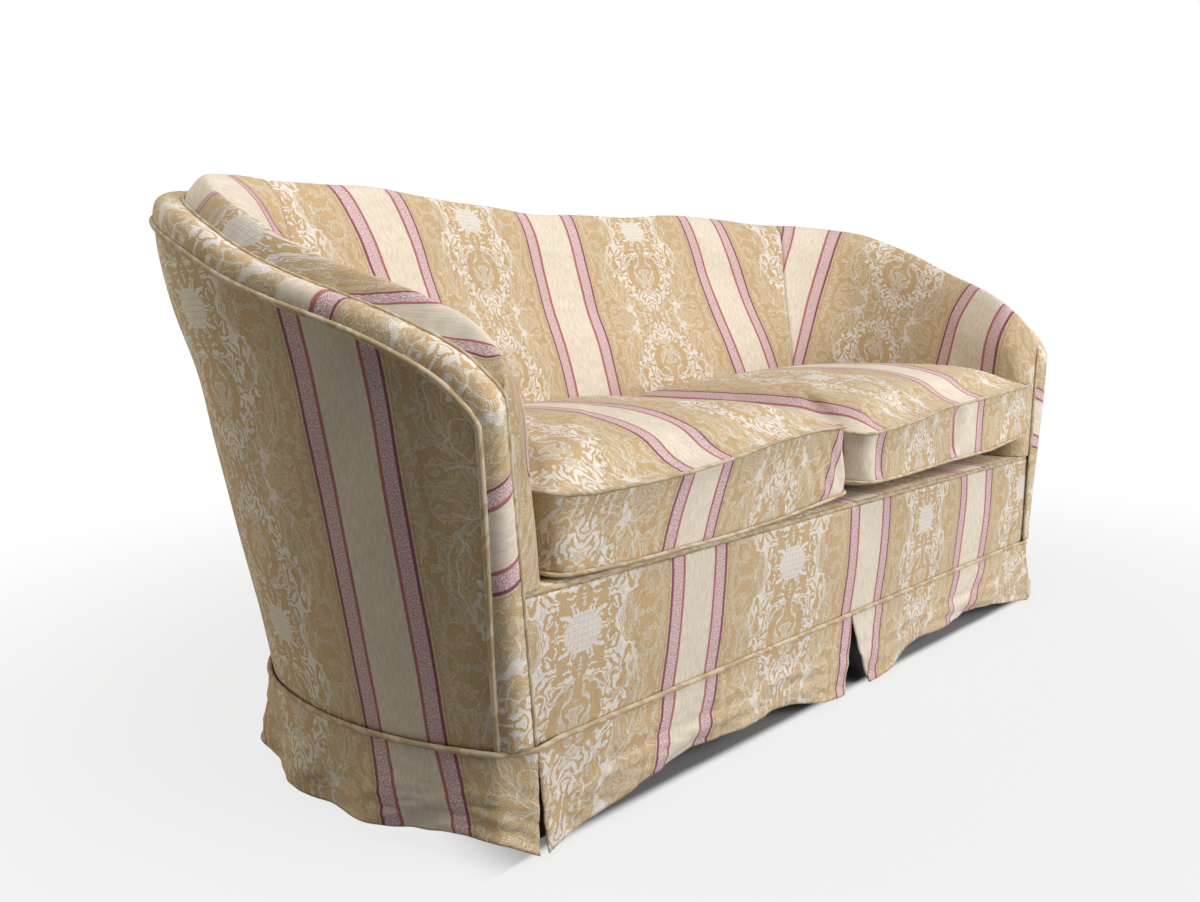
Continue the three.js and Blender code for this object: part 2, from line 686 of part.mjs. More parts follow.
function padCover(along) {
  const under = below(padSurface, CLOTH, [0, 1], ends(along));
  return slab(padRows, along, padSurface, (s, t) => standing(under(s, t)));
}
// The padding is solid from just below the cover to the plane of the webbing.
function padding(along) {
  const face = below(padSurface, CLOTH + SEAM, [0, 1], ends(along));
  const backing = (s, t) => {
    const top = innerSeamHeight(folded(t)) - 3 * CLOTH;
    return bodyPoint(t, padInset, lerp(top, padLow, (s - foamRows[0]) / (1 - foamRows[0])));
  };
  return slab(foamRows, along, (s, t) => standing(face(s, t)), backing);
}
const armSpan = (from) => columns(from, PAD.seam - SEAM);
const armCover = padCover(armSpan(armStart));
const armFoam = padding(armSpan(0).filter((along) => along > PAD.frontRoll / 2));
for (const [side, turned] of SIDES) {
  add(`inside_arm_cover_${side}`, turned(armCover), CLOTH_LOOK());
  add(`inside_arm_padding_${side}`, turned(armFoam), FOAM_LOOK());
}
const backSpan = columns(PAD.seam + SEAM, backEnd - SEAM);
add("inside_back_cover", padCover(backSpan), CLOTH_LOOK());
add("inside_back_padding", padding(backSpan), FOAM_LOOK());

// Webbing behind the back's padding: upright straps and one girth, interlaced.
const strapCount = 2 * BACK_STRAPS_PER_SIDE + 1;
const strapEdges = Array.from({ length: strapCount }, (_, i) => {
  const middle = HALF_LENGTH + (i - BACK_STRAPS_PER_SIDE) * BACK_WEBBING.pitch;
  return [middle - BACK_WEBBING.width / 2, middle + BACK_WEBBING.width / 2];
});
const strapFoot = hessianHigh + SEAM;
const strapHead = (along) => backRailLow(along) + BACK_WEBBING.lap;
const strapAt = (share) => (along) => lerp(strapFoot, strapHead(along), share);
const backStrap = (places, low, high, rows) =>
  sweptBoard(places, backStrapInset, BACK_WEBBING.thick, strapAt(low), strapAt(high), rows);
const uprights = strapEdges.map((places) => backStrap(places, 0, 1, POST_ROWS));
const girth = backStrap(strapEdges.flat(), ...BACK_GIRTH_SHARES);
add("back_webbing", joined([...uprights, girth]), WEBBING_LOOK());

// Outside covers

const skirtWeltTop = SKIRT.seamHeight + SKIRT_WELT_RADIUS + SEAM;
const weltSlope = (along) => (weltHeight(along + TINY) - weltHeight(along)) / TINY;
// The cover ends square to the welt's line, however steeply that rises.
const belowWelt = (along) => (WELT.radius + SEAM) * Math.hypot(1, weltSlope(folded(along)));
const outsideTop = (along) => weltHeight(along) - belowWelt(along);
const outsideSurface = (share, along) => bodyPoint(along, 0, lerp(skirtHead, outsideTop(along), share));
const outsideRows = steps(OUTSIDE_ROWS);
const armOutside = cloth(outsideRows, armSpan(WELT.radius + SEAM), outsideSurface);
for (const [side, turned] of SIDES) add(`outside_arm_cover_${side}`, turned(armOutside), CLOTH_LOOK());
add("outside_back_cover", cloth(outsideRows, backSpan, outsideSurface), CLOTH_LOOK());

// Welts and band. Both follow one run: up the arm front, then along the outline.
const armRise = WELT.armHeight - skirtWeltTop;
function onRun(run, share) {
  if (run < armRise) return [0, skirtWeltTop + run + BAND.rise * share * (run / armRise)];
  return [run - armRise, weltHeight(run - armRise) + BAND.rise * share];
}
const bandFrom = (WELT.radius + SEAM) / BAND.width;
const bandTo = 1 - (INNER_WELT_RADIUS + SEAM) / BAND.width;
function bandSurface(share, run) {
  const [along, height] = onRun(run, share);
  return bodyPoint(along, BAND.width * share, height);
}
// The band swells between its two welts.
function bandFace(run) {
  const range = ends(run);
  return (share, at) => {
    const middle = (bandFrom + bandTo) / 2;
    const swell = 1 - ((share - middle) / (bandTo - middle)) ** 2;
    const along = folded(Math.max(0, at - armRise));
    const bulge = lerp(BAND.frontBulge, BAND.backBulge, smooth(along / PAD.seam));
    return below(bandSurface, -bulge * swell, [0, 1], range)(share, at);
  };
}
const bandShares = between(bandFrom, bandTo, BAND_ROWS);
const band = (run) => cloth(bandShares, run, bandFace(run), BAND.thick);
const frontPlaces = between(0, armRise - BAND.width / 2, FRONT_ROWS);
const armBand = band([...frontPlaces, ...armSpan(0).map((along) => along + armRise)]);
for (const [side, turned] of SIDES) add(`arm_band_${side}`, turned(armBand), CLOTH_LOOK());
add("back_band", band(backSpan.map((along) => along + armRise)), CLOTH_LOOK());

// A welt that runs up one arm front, over arms and back, and down the other.
function runWelt(share, radius) {
  const half = [...frontPlaces, ...halfPlaces.map((along) => along + armRise)];
  const left = half.map((run) => bandSurface(share, run));
  const right = left.slice(0, -1).map((p) => new THREE.Vector3(-p.x, p.y, p.z));
  return roundTube([...left, ...right.reverse()], radius);
}
add("outer_welt", runWelt(0, WELT.radius), PIPING_LOOK());
add("inner_welt", runWelt(1, INNER_WELT_RADIUS), PIPING_LOOK());
const deckWeltY = DECK.front + WELT.radius + SHIFT;
const weltZ = DECK.height - WELT.radius;
const deckWeltEnds = [-apronEnd, 0, apronEnd].map((x) => new THREE.Vector3(x, deckWeltY, weltZ));
add("deck_welt", roundTube(deckWeltEnds, WELT.radius), PIPING_LOOK());

// Skirt

// The line it hangs from, on the left side: from the middle of the front, round the arm's front and
// on to the middle of the back. Each corner has its distance on the line and the direction in which
// a line beside it has the corner.
const frontLine = (x) => new THREE.Vector2(x, DECK.front + SHIFT);
const skirtCorners = [
  frontLine(0),
  frontLine(bandInside + BAND.width),
  bodyPoint(0, BAND.width, SKIRT.seamHeight),
  ...columns(0, HALF_LENGTH).map((along) => bodyPoint(along, 0, SKIRT.seamHeight)),
].map((p) => ({ at: new THREE.Vector2(p.x, p.y) }));
const outwardOf = (a, b) => new THREE.Vector2(a.at.y - b.at.y, b.at.x - a.at.x).normalize();
skirtCorners.forEach((corner, i) => {
  const last = skirtCorners.length - 1;
  const before = i > 0 ? outwardOf(skirtCorners[i - 1], corner) : new THREE.Vector2(0, -1);
  const after = i < last ? outwardOf(corner, skirtCorners[i + 1]) : new THREE.Vector2(0, 1);
  const out = before.clone().add(after);
  corner.out = out.multiplyScalar(2 / out.lengthSq());
  corner.length = i > 0 ? skirtCorners[i - 1].length + corner.at.distanceTo(skirtCorners[i - 1].at) : 0;
});
const skirtLengths = skirtCorners.map((corner) => corner.length);
const skirtEnd = skirtLengths[skirtLengths.length - 1];
function skirtPoint(length, out, height) {
  if (length > skirtEnd) {
    const twin = skirtPoint(2 * skirtEnd - length, out, height);
    return new THREE.Vector3(-twin.x, twin.y, twin.z);
  }
  let k = 0;
  while (k < skirtCorners.length - 2 && skirtLengths[k + 1] <= length) k++;
  const a = skirtCorners[k];
  const b = skirtCorners[k + 1];
  const t = (length - a.length) / (b.length - a.length);
  const p = a.at.clone().lerp(b.at, t).addScaledVector(a.out.clone().lerp(b.out, t), out);
  return new THREE.Vector3(p.x, p.y, height);
}

// The welt goes right round the sofa; its ends meet at the middle of the back.
const skirtOut = SKIRT_WELT_RADIUS + SEAM;
const skirtWeltHalf = [...skirtLengths.slice(0, -1), skirtEnd - SEAM].map((length) =>
  skirtPoint(length, skirtOut, SKIRT.seamHeight),
);
const skirtWeltTwin = skirtWeltHalf.slice(1).map((p) => new THREE.Vector3(-p.x, p.y, p.z));
const skirtWeltRun = [...skirtWeltTwin.reverse(), ...skirtWeltHalf];
add("skirt_welt", roundTube(skirtWeltRun, SKIRT_WELT_RADIUS), PIPING_LOOK());

// A panel hangs from below the welt, a little further out towards its hem and in soft folds.
function skirtPanel(from, to, hemShares) {
  const length = to - from;
  const folds = Math.round(length / SKIRT.foldPitch);
  const face = (away) => (down, at) => {
    const t = (at - from) / length;
    const hem = SKIRT.hemHeight + SKIRT.hemArch * throughTable(hemShares, t);
    const fold = Math.sin(2 * Math.PI * folds * t) * SKIRT.fold;
    const out = skirtOut + CLOTH / 2 + (SKIRT.flare + fold) * down - away;
    return skirtPoint(at, out, lerp(skirtHead, hem, down));
  };
  const corners = [...skirtLengths, ...skirtLengths.map((at) => 2 * skirtEnd - at)];
  const even = between(from, to, folds * FOLD_POINTS);
  const bends = corners.filter((at) => even.every((other) => Math.abs(at - other) > SKIRT.slit));
  const inside = [...even.slice(1, -1), ...bends.filter((at) => at > from && at < to)];
  const along = [from, ...inside.sort((a, b) => a - b), to];
  return slab(steps(SKIRT_ROWS), along, face(0), face(CLOTH));
}
const slitInFront = skirtLengths[2];
const slitBehind = skirtLengths[3] + SKIRT.corner;
const halfSlit = SKIRT.slit / 2;
const skirtFront = skirtPanel(halfSlit, slitInFront - halfSlit, HEM_SHARES.front);
const skirtSide = skirtPanel(slitInFront + halfSlit, slitBehind - halfSlit, HEM_SHARES.side);
for (const [side, turned] of SIDES) {
  add(`skirt_front_${side}`, turned(skirtFront), CLOTH_LOOK());
  add(`skirt_side_${side}`, turned(skirtSide), CLOTH_LOOK());
}
const skirtBackEnd = 2 * skirtEnd - slitBehind - halfSlit;
add("skirt_back", skirtPanel(slitBehind + halfSlit, skirtBackEnd, HEM_SHARES.front), CLOTH_LOOK());

// Cushions

// A closed outline rounded by averaging it over a length, as evenly spaced points.
function rounded(corners, reach, count) {
  const lengths = [0];
  const loop = [...corners, corners[0]];
  for (let i = 1; i < loop.length; i++) lengths.push(lengths[i - 1] + loop[i].distanceTo(loop[i - 1]));
  const total = lengths[lengths.length - 1];
  const at = (length) => {
    const wrapped = ((length % total) + total) % total;
    let i = 1;
    while (lengths[i] < wrapped) i++;
    return loop[i - 1].clone().lerp(loop[i], (wrapped - lengths[i - 1]) / (lengths[i] - lengths[i - 1]));
  };
  return Array.from({ length: count }, (_, k) => {
    const middle = (k * total) / count;
    const sum = new THREE.Vector2();
    const samples = between(middle - reach, middle + reach, ROUNDING_SAMPLES);
    for (const sample of samples) sum.add(at(sample));
    return sum.divideScalar(samples.length);
  });
}

// The cushion's plan on the left side, a distance inside its seams.
function cushionPlan(inside, lie) {
  const front = CUSHION.front + inside - lie.forward + SHIFT;
  const inset = (along) =>
    lerp(PAD.armInset, PAD.backInset, smooth(along / PAD.thickeningLength)) + CUSHION.clearance + inside;
  // A cushion that lies further forward keeps its sides, and leaves a wider space behind it.
  const side = between(PAD.frontRoll, HALF_LENGTH, CUSHION_SIDE_POINTS).map((along) => {
    const p = bodyPoint(along, inset(along), DECK.height);
    const share = smooth((p.y - SHIFT - PLAN.widestBack / 2) / PLAN.widestBack);
    return new THREE.Vector2(Math.min(p.x, -CUSHION.gap / 2 - inside), p.y - lie.forward * share);
  });
  const outer = side[0].x;
  const middle = -CUSHION.gap / 2 - inside;
  side[side.length - 1].x = middle;
  return rounded(
    [new THREE.Vector2(middle, front), new THREE.Vector2(outer, front), ...side],
    CUSHION.corner,
    CUSHION_POINTS,
  );
}
const rimRise = (x, lie) =>
  lerp(lie.innerLift, lie.outerLift, smooth(-x / (PLAN.halfWidth - PAD.backInset)));
const cushionRest = DECK.height + SEAM;
const lowRim = (x, lie) => cushionRest + CUSHION.belly + rimRise(x, lie);
const planCentre = (plan) =>
  plan.reduce((sum, p) => sum.add(p), new THREE.Vector2()).divideScalar(plan.length);
const outwards = (p, centre, distance) => p.clone().sub(centre).normalize().multiplyScalar(distance);

// The cushion's body, a distance inside its seams: underside, boxing and crowned top.
function cushionBody(inside, lie) {
  const plan = cushionPlan(inside, lie);
  const centre = planCentre(plan);
  const middle = lowRim(centre.x, lie);
  const tall = CUSHION.boxTall - 2 * inside;
  const rings = [
    ...UNDERSIDE_SHARES.map(([size, rise]) => [size, 0, (edge) => lerp(cushionRest, edge, rise)]),
    ...steps(BOXING_ROWS).map((rise) => [1, Math.sin(Math.PI * rise), (edge) => edge + rise * tall]),
    ...TOP_SHARES.map((size) => [
      size,
      0,
      (edge) => lerp(middle, edge, size) + tall + CUSHION.crown * (1 - size ** CROWN_POWER),
    ]),
  ];
  const rows = rings.map(([size, swell, height]) =>
    plan.map((p) => {
      const q = centre.clone().lerp(p, size).add(outwards(p, centre, CUSHION.bulge * swell));
      return new THREE.Vector3(q.x, q.y, height(lowRim(p.x, lie)) + inside);
    }),
  );
  const mean = (row) => row.reduce((sum, p) => sum.add(p), new THREE.Vector3()).divideScalar(row.length);
  const points = [mean(rows[0]), ...rows.flat(), mean(rows[rows.length - 1])];
  const count = plan.length;
  const id = (i, j) => 1 + i * count + (j % count);
  const triangles = [];
  for (let j = 0; j < count; j++) {
    triangles.push([0, id(0, j + 1), id(0, j)]);
    triangles.push([points.length - 1, id(rows.length - 1, j), id(rows.length - 1, j + 1)]);
    for (let i = 0; i + 1 < rows.length; i++) {
      triangles.push([id(i, j), id(i, j + 1), id(i + 1, j + 1)], [id(i, j), id(i + 1, j + 1), id(i + 1, j)]);
    }
  }
  return closedSolid(points, triangles);
}

// The piping round one edge, a closed ring just outside the cover.
function cushionPiping(lie, height) {
  const plan = cushionPlan(0, lie);
  const centre = planCentre(plan);
  const points = [];
  for (const p of plan) {
    for (let k = 0; k < TUBE_SIDES; k++) {
      const turn = (2 * Math.PI * k) / TUBE_SIDES;
      const out = CUSHION.piping * (1 + Math.cos(turn)) + SEAM;
      const q = p.clone().add(outwards(p, centre, out));
      points.push(new THREE.Vector3(q.x, q.y, height(lowRim(p.x, lie)) + CUSHION.piping * Math.sin(turn)));
    }
  }
  const id = (i, k) => (i % plan.length) * TUBE_SIDES + (k % TUBE_SIDES);
  const triangles = [];
  for (let i = 0; i < plan.length; i++) {
    for (let k = 0; k < TUBE_SIDES; k++) {
      triangles.push([id(i, k), id(i + 1, k), id(i + 1, k + 1)], [id(i, k), id(i + 1, k + 1), id(i, k + 1)]);
    }
  }
  return closedSolid(points, triangles);
}

// A strip that follows the boxing at the back, where the zip is.
function boxingStrip(lie, longer, taller, outer, inner) {
  const plan = cushionPlan(0, lie);
  const centre = planCentre(plan);
  const behind = plan.map((p, k) => [p.y > centre.y ? Math.abs(p.x + ZIP.inset) : PLAN.halfWidth, k]);
  const middle = behind.reduce((best, entry) => (entry[0] < best[0] ? entry : best))[1];
  const segment = plan[middle].distanceTo(plan[middle + 1]);
  const half = (ZIP.length / 2 + longer) / segment;
  const whole = [];
  for (let k = Math.ceil(middle - half); k < middle + half; k++) whole.push(k);
  const surface = (out) => (s, place) => {
    const k = Math.floor(place);
    const of = (p) => p.clone().add(outwards(p, centre, CUSHION.bulge + out));
    const q = of(plan[k]).lerp(of(plan[k + 1]), place - k);
    const height = lowRim(centre.x, lie) + CUSHION.boxTall / 2 + (s - 1 / 2) * (ZIP.tall + 2 * taller);
    return new THREE.Vector3(q.x, q.y, height);
  };
  return slab(steps(1), [middle - half, ...whole, middle + half], surface(outer), surface(inner));
}
for (const [side, turned] of SIDES) {
  const lie = CUSHION_LIE[side];
  const opening = boxingStrip(lie, SEAM, SEAM, ZIP.tall, -ZIP.tall);
  const cover = cut(cushionBody(0, lie), cushionBody(CLOTH, lie), opening);
  add(`cushion_cover_${side}`, turned(cover), CLOTH_LOOK());
  add(`cushion_foam_${side}`, turned(cushionBody(CLOTH + SEAM, lie)), FOAM_LOOK());
  add(`cushion_zip_${side}`, turned(boxingStrip(lie, 0, 0, 0, -CLOTH)), BRASS_LOOK());
  add(`cushion_piping_top_${side}`, turned(cushionPiping(lie, (edge) => edge + CUSHION.boxTall)), PIPING_LOOK());
  add(`cushion_piping_bottom_${side}`, turned(cushionPiping(lie, (edge) => edge)), PIPING_LOOK());
}

export default sofa;
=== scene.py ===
# %% [markdown]
# # A two-seat cabriole sofa in woven stripe damask
# The CAD frame gives every joint, board and panel its place. This lesson dresses it: each cover is
# made again as a fine surface that carries the cloth's own coordinates, because a stripe that was
# cut and sewn has to follow the cloth and not the room.

import bpy
import numpy as np
from mathutils import Matrix, Vector


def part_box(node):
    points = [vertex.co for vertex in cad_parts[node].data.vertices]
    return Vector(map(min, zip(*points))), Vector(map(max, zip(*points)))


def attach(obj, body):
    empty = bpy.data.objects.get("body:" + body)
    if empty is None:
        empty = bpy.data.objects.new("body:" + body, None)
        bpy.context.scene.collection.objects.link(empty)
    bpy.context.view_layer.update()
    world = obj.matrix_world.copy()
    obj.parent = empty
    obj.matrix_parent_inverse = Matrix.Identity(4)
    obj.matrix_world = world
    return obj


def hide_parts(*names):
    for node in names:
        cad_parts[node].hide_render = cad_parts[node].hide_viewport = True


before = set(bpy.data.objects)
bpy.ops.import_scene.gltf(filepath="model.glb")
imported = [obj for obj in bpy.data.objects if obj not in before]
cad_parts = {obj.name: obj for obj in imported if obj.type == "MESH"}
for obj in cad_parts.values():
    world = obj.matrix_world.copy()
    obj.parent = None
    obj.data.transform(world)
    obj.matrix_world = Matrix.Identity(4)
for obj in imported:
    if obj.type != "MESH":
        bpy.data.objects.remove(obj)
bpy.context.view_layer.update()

# %% [markdown]
# ## The sofa's own numbers
# Covers, bands and welts all follow one outline in plan. The same few sizes that shape the CAD
# solids are repeated here in metres, so that each new surface lies on the solid it stands for. The
# other way would be to read points from the CAD meshes, but those are coarse and carry no cloth
# direction.

# %% Sizes of the outline and what follows it
SEAM = 0.0004
CLOTH = 0.002
TIMBER = 0.032
SHIFT = -0.411  # of the front skirt seam's plane from the origin
PLAN = {"half_width": 0.784, "widest_back": 0.330, "front_reach": 0.630}
PLAN |= {"back_reach": 0.390, "front_back": 0.030, "power": 2.6}
LEAN = {"set_back": 0.020, "run": 0.052}
FLARE = {"most": 0.120, "top": 0.760, "full_after": 0.580, "front_share": 0.37}
FLARE_RISE = [(0, 0), (0.13, 0.11), (0.33, 0.3), (0.51, 0.47), (0.66, 0.6), (0.8, 0.81)]
FLARE_RISE += [(0.91, 0.91), (1, 0.93)]
SKIRT = {"seam": 0.128, "hem": 0.006, "arch": 0.028, "flare": 0.010, "slit": 0.008, "corner": 0.585}
HEM_FRONT = [(0, 0), (0.1, 0.3), (0.28, 1), (0.72, 1), (0.9, 0.3), (1, 0)]
HEM_SIDE = [(0, 0), (0.07, 0.95), (0.2, 0.8), (0.5, 0.4), (0.75, 0.5), (1, 0.9)]
DECK = {"height": 0.309, "front": 0.016}
WELT = {"arm": 0.500, "corner": 0.776, "radius": 0.004, "inner": 0.0026, "skirt": 0.0036}
WELT_RISE = [(0, 0), (0.008, 0.065), (0.028, 0.185), (0.06, 0.275), (0.1, 0.36), (0.18, 0.5), (0.23, 0.6)]
WELT_RISE += [(0.3, 0.77), (0.36, 0.89), (0.43, 0.97), (0.52, 1), (0.7, 0.985), (0.85, 0.945), (1, 0.92)]
BAND = {"width": 0.038, "rise": 0.027, "front_bulge": 0.011, "back_bulge": 0.018}
PAD = {"crest": 0.072, "arm_rise": 0.026, "back_rise": 0.046, "growth": 0.260, "shoulder": 0.108}
PAD |= {"drop": 0.040, "arm": 0.108, "back": 0.138, "thickening": 0.350, "roll": 0.052, "seam": 0.660}
RAIL = {"bottom": 0.105, "top": 0.284, "inset": 0.010}
WEBBING = {"gap": 0.002, "thick": 0.002, "room": 0.004, "cut": 0.0009}
print("plan:", PLAN)

# %% [markdown]
# ### Small mathematics
# Three ways to go from one number to another come back all through this lesson: straight, with a
# soft start and end, and along a curve that is given by a few points. They work on whole arrays, so
# no surface below is made point by point.

# %% Straight, soft and tabled curves
def lerp(a, b, t):
    """a where t is 0, b where t is 1, and straight between them."""
    return a + (b - a) * t


def clamp01(t):
    """t held between 0 and 1."""
    return np.clip(t, 0.0, 1.0)


def smooth(t):
    """Rises from 0 to 1 with level ends: three times t squared less twice t cubed."""
    t = clamp01(t)
    return t * t * (3 - 2 * t)


def through_table(rows, place):
    """A smooth curve through rows of (place, value): between two rows a cubic whose slope at each
    row is the slope between that row's neighbours."""
    xs, ys = np.array(rows, float).T
    before = np.maximum(np.arange(len(xs)) - 1, 0)
    after = np.minimum(np.arange(len(xs)) + 1, len(xs) - 1)
    slopes = (ys[after] - ys[before]) / (xs[after] - xs[before])
    at = clamp01(place)
    k = np.clip(np.searchsorted(xs, at, side="left") - 1, 0, len(xs) - 2)
    run = xs[k + 1] - xs[k]
    t = (at - xs[k]) / run
    rest = 1 - t
    ends = ys[k] * (1 + 2 * t) * rest**2 + ys[k + 1] * t**2 * (3 - 2 * t)
    return ends + slopes[k] * run * t * rest**2 - slopes[k + 1] * run * t**2 * rest


print("halfway up the welt's wave:", float(through_table(WELT_RISE, 0.18)))

# %% [markdown]
# ## The outline
# Back and arms are one sweep, so one number, the distance along the outline from the left arm's
# front, places a point anywhere round the sofa. A second one goes inwards from the outer face and
# the third is the height. The outline itself is an ellipse in front and a squarer curve behind.

# %% A point of the body from its distance along, inset and height
half_turns = np.linspace(0, 1, 401)
front_part = PLAN["widest_back"] / (PLAN["widest_back"] + PLAN["half_width"])
ahead = lerp(PLAN["front_back"], PLAN["widest_back"], np.minimum(half_turns / front_part, 1))
turned = np.maximum(half_turns - front_part, 0) / (1 - front_part) * np.pi / 2
side_x = np.sqrt(1 - ((PLAN["widest_back"] - ahead) / PLAN["front_reach"]) ** 2)
rear_x = np.maximum(0, np.cos(turned)) ** (2 / PLAN["power"])
in_front = half_turns < front_part
plan_x = -PLAN["half_width"] * np.where(in_front, side_x, rear_x)
rear_y = PLAN["widest_back"] + PLAN["back_reach"] * np.sin(turned) ** (2 / PLAN["power"])
plan_y = np.where(in_front, ahead, rear_y)
plan_length = np.concatenate([[0], np.cumsum(np.hypot(np.diff(plan_x), np.diff(plan_y)))])
HALF = plan_length[-1]


def folded(along):
    """Distances on the right half, counted back from the right arm's front."""
    return np.where(along > HALF, 2 * HALF - along, along)


def plan_point(along):
    """The outline's point at a distance along: looked up in a table of the left half, which is
    mirrored beyond the middle of the back."""
    length = np.clip(folded(along), 0, HALF)
    x = np.interp(length, plan_length, plan_x)
    return np.where(along > HALF, -x, x), np.interp(length, plan_length, plan_y)


def inwards(along):
    """Unit direction inwards: straight across the sofa at the arm's front, further back square to
    the outline, and blended over a seventh of its half length."""
    xa, ya = plan_point(np.maximum(0, along - HALF / 60))
    xb, yb = plan_point(along + HALF / 60)
    across = np.stack([yb - ya, xa - xb])
    across = across / np.hypot(*across)
    share = smooth(along / (HALF / 7))
    mixed = np.stack([lerp(1, across[0], share), lerp(0, across[1], share)])
    return mixed / np.hypot(*mixed)


def body_point(along, inset, height):
    """Outline point, moved inwards by the inset less the outward flare at that height, and drawn
    forward near the arm's front by the front's lean."""
    along, inset, height = np.broadcast_arrays(along, inset, height)
    place = folded(along)
    rise = (height - SKIRT["seam"]) / (FLARE["top"] - SKIRT["seam"])
    share = lerp(FLARE["front_share"], 1, smooth(place / FLARE["full_after"]))
    flare = FLARE["most"] * share * through_table(FLARE_RISE, rise)
    upright = smooth((height - SKIRT["seam"]) / (WELT["arm"] - SKIRT["seam"]))
    lean = lerp(clamp01(inset / BAND["width"]), 1, upright) * (1 - smooth(place / LEAN["run"]))
    x, y = plan_point(place)
    dx, dy = inwards(place)
    left = x + dx * (inset - flare)
    back = y + dy * (inset - flare) - LEAN["set_back"] * lean + SHIFT
    return np.stack([np.where(along > HALF, -left, left), back, height], -1)


def welt_height(along):
    """The outer welt's height: from the arm front's to the back corner's, by the wave's table."""
    return lerp(WELT["arm"], WELT["corner"], through_table(WELT_RISE, folded(along) / HALF))


print(f"half of the outline is {HALF:.4f} m long")

# %% [markdown]
# ## Surfaces on a grid
# Every cover is a grid of points, rows across the cloth and columns along it, and each point also
# knows where it lies on the flat cloth. That second pair of numbers, in metres, becomes the UV map
# named cloth, which all the fabric below reads. An image-like unwrap afterwards would give stretched
# stripes; here the stripes keep the width that the loom gave them.

# %% Grids to meshes
def cell_corners(rows, cols):
    """The row and the column of each grid cell's four corners, in turn round the cell."""
    i, j = np.meshgrid(np.arange(rows), np.arange(cols), indexing="ij")
    return i[..., None] + np.array([0, 0, 1, 1]), j[..., None] + np.array([0, 1, 1, 0])


def grid_piece(name, points, cloth, seen_from=None, around=False):
    """Quads between neighbouring grid points. Where seen_from is given the faces are turned so that
    most look at that point, otherwise so that the closed form's volume is positive."""
    rows, cols = points.shape[:2]
    spans = cols if around else cols - 1
    ii, jj = cell_corners(rows - 1, spans)
    faces = (ii * cols + jj % cols).reshape(-1, 4)
    marks = cloth[ii, jj].reshape(-1, 4, 2)
    flat = points.reshape(-1, 3)
    return mesh_piece(name, flat, faces, marks, seen_from)


def mesh_piece(name, flat, faces, marks, seen_from=None):
    """An object from points, four-cornered faces and each face corner's place on the cloth."""
    a, b, c, d = (flat[faces[:, k]] for k in range(4))
    square = np.cross(c - a, d - b)
    middle = (a + b + c + d) / 4
    if seen_from is None:
        facing = float((middle * square).sum())
    else:
        facing = float(((np.array(seen_from) - middle) * square).sum())
    if facing < 0:
        faces, marks = faces[:, ::-1], marks[:, ::-1]
    mesh = bpy.data.meshes.new(name)
    mesh.from_pydata(flat.tolist(), [], faces.tolist())
    mesh.uv_layers.new(name="cloth").data.foreach_set("uv", np.ascontiguousarray(marks).ravel())
    mesh.polygons.foreach_set("use_smooth", np.ones(len(faces), bool))
    mesh.validate()
    piece = bpy.data.objects.new(name, mesh)
    bpy.context.scene.collection.objects.link(piece)
    return piece


def thicken(piece, depth=CLOTH):
    """Gives a single surface its cloth's thickness, behind the face that is seen."""
    wall = piece.modifiers.new("cloth thickness", "SOLIDIFY")
    wall.thickness = depth
    wall.offset = -1
    wall.use_even_offset = True
    return piece


def surface_area(points):
    """Sum of half the cross products of each grid cell's diagonals."""
    across = points[1:, 1:] - points[:-1, :-1]
    other = points[1:, :-1] - points[:-1, 1:]
    return float(np.linalg.norm(np.cross(across, other), axis=-1).sum() / 2)


def run_length(points, axis):
    """Distance walked along a grid's axis, from 0 at its start."""
    steps = np.linalg.norm(np.diff(points, axis=axis), axis=-1)
    start = np.zeros_like(np.take(steps, [0], axis=axis))
    return np.concatenate([start, np.cumsum(steps, axis=axis)], axis=axis)


CUT_SIZES = {}


def sheet_piece(name, points, cloth, seen_from, depth=CLOTH):
    """A grid as one layer of cloth. The flat size that it is cut to is kept under its name: the
    longest row, the longest column and the area."""
    wide, tall = run_length(points, 1)[:, -1].max(), run_length(points, 0)[-1].max()
    CUT_SIZES[name] = (float(wide), float(tall), surface_area(points))
    return thicken(grid_piece(name, points, cloth, seen_from), depth)


def drawn_together(ring):
    """A ring of the same count whose points all lie at the ring's middle."""
    return ring.mean(1, keepdims=True) + 0 * ring


def capped(rings, marks, first=None, last=None):
    """Closes a form of rings: a ring that is one point goes before the first and after the last."""
    first = drawn_together(rings[:1]) if first is None else first
    last = drawn_together(rings[-1:]) if last is None else last
    return np.concatenate([first, rings, last]), np.concatenate([marks[:1], marks, marks[-1:]])


def normals_of(points):
    """Unit directions square to a grid: the cross product of its slopes along columns and rows."""
    square = np.cross(np.gradient(points, axis=1), np.gradient(points, axis=0))
    return square / np.maximum(np.linalg.norm(square, axis=-1, keepdims=True), 1e-12)


def ripple(u, v, wave, seed):
    """Gentle unevenness between -1 and 1: eight sines whose directions and lengths, about one wave
    long, are drawn from a fixed seed."""
    drawn = np.random.default_rng(seed)
    turn = drawn.uniform(0, 2 * np.pi, (2, 8))
    pitch = 2 * np.pi / (wave * drawn.uniform(0.6, 1.6, 8))
    u, v = np.broadcast_arrays(u, v)
    place = u[..., None] * np.cos(turn[0]) + v[..., None] * np.sin(turn[0])
    return np.sin(place * pitch + turn[1]).sum(-1) / 4


SIDES = {"left": 1, "right": -1}


def on_side(points, sign):
    """A left piece's points as they are, or mirrored for the right one."""
    return points * np.array([sign, 1, 1])


def eased(count, power, length):
    """Places from 0 to the length, closer near 0: the length times a power of even shares."""
    return np.linspace(0, 1, count) ** power * length


print("eased to 1:", eased(4, 2, 1.0).round(2))

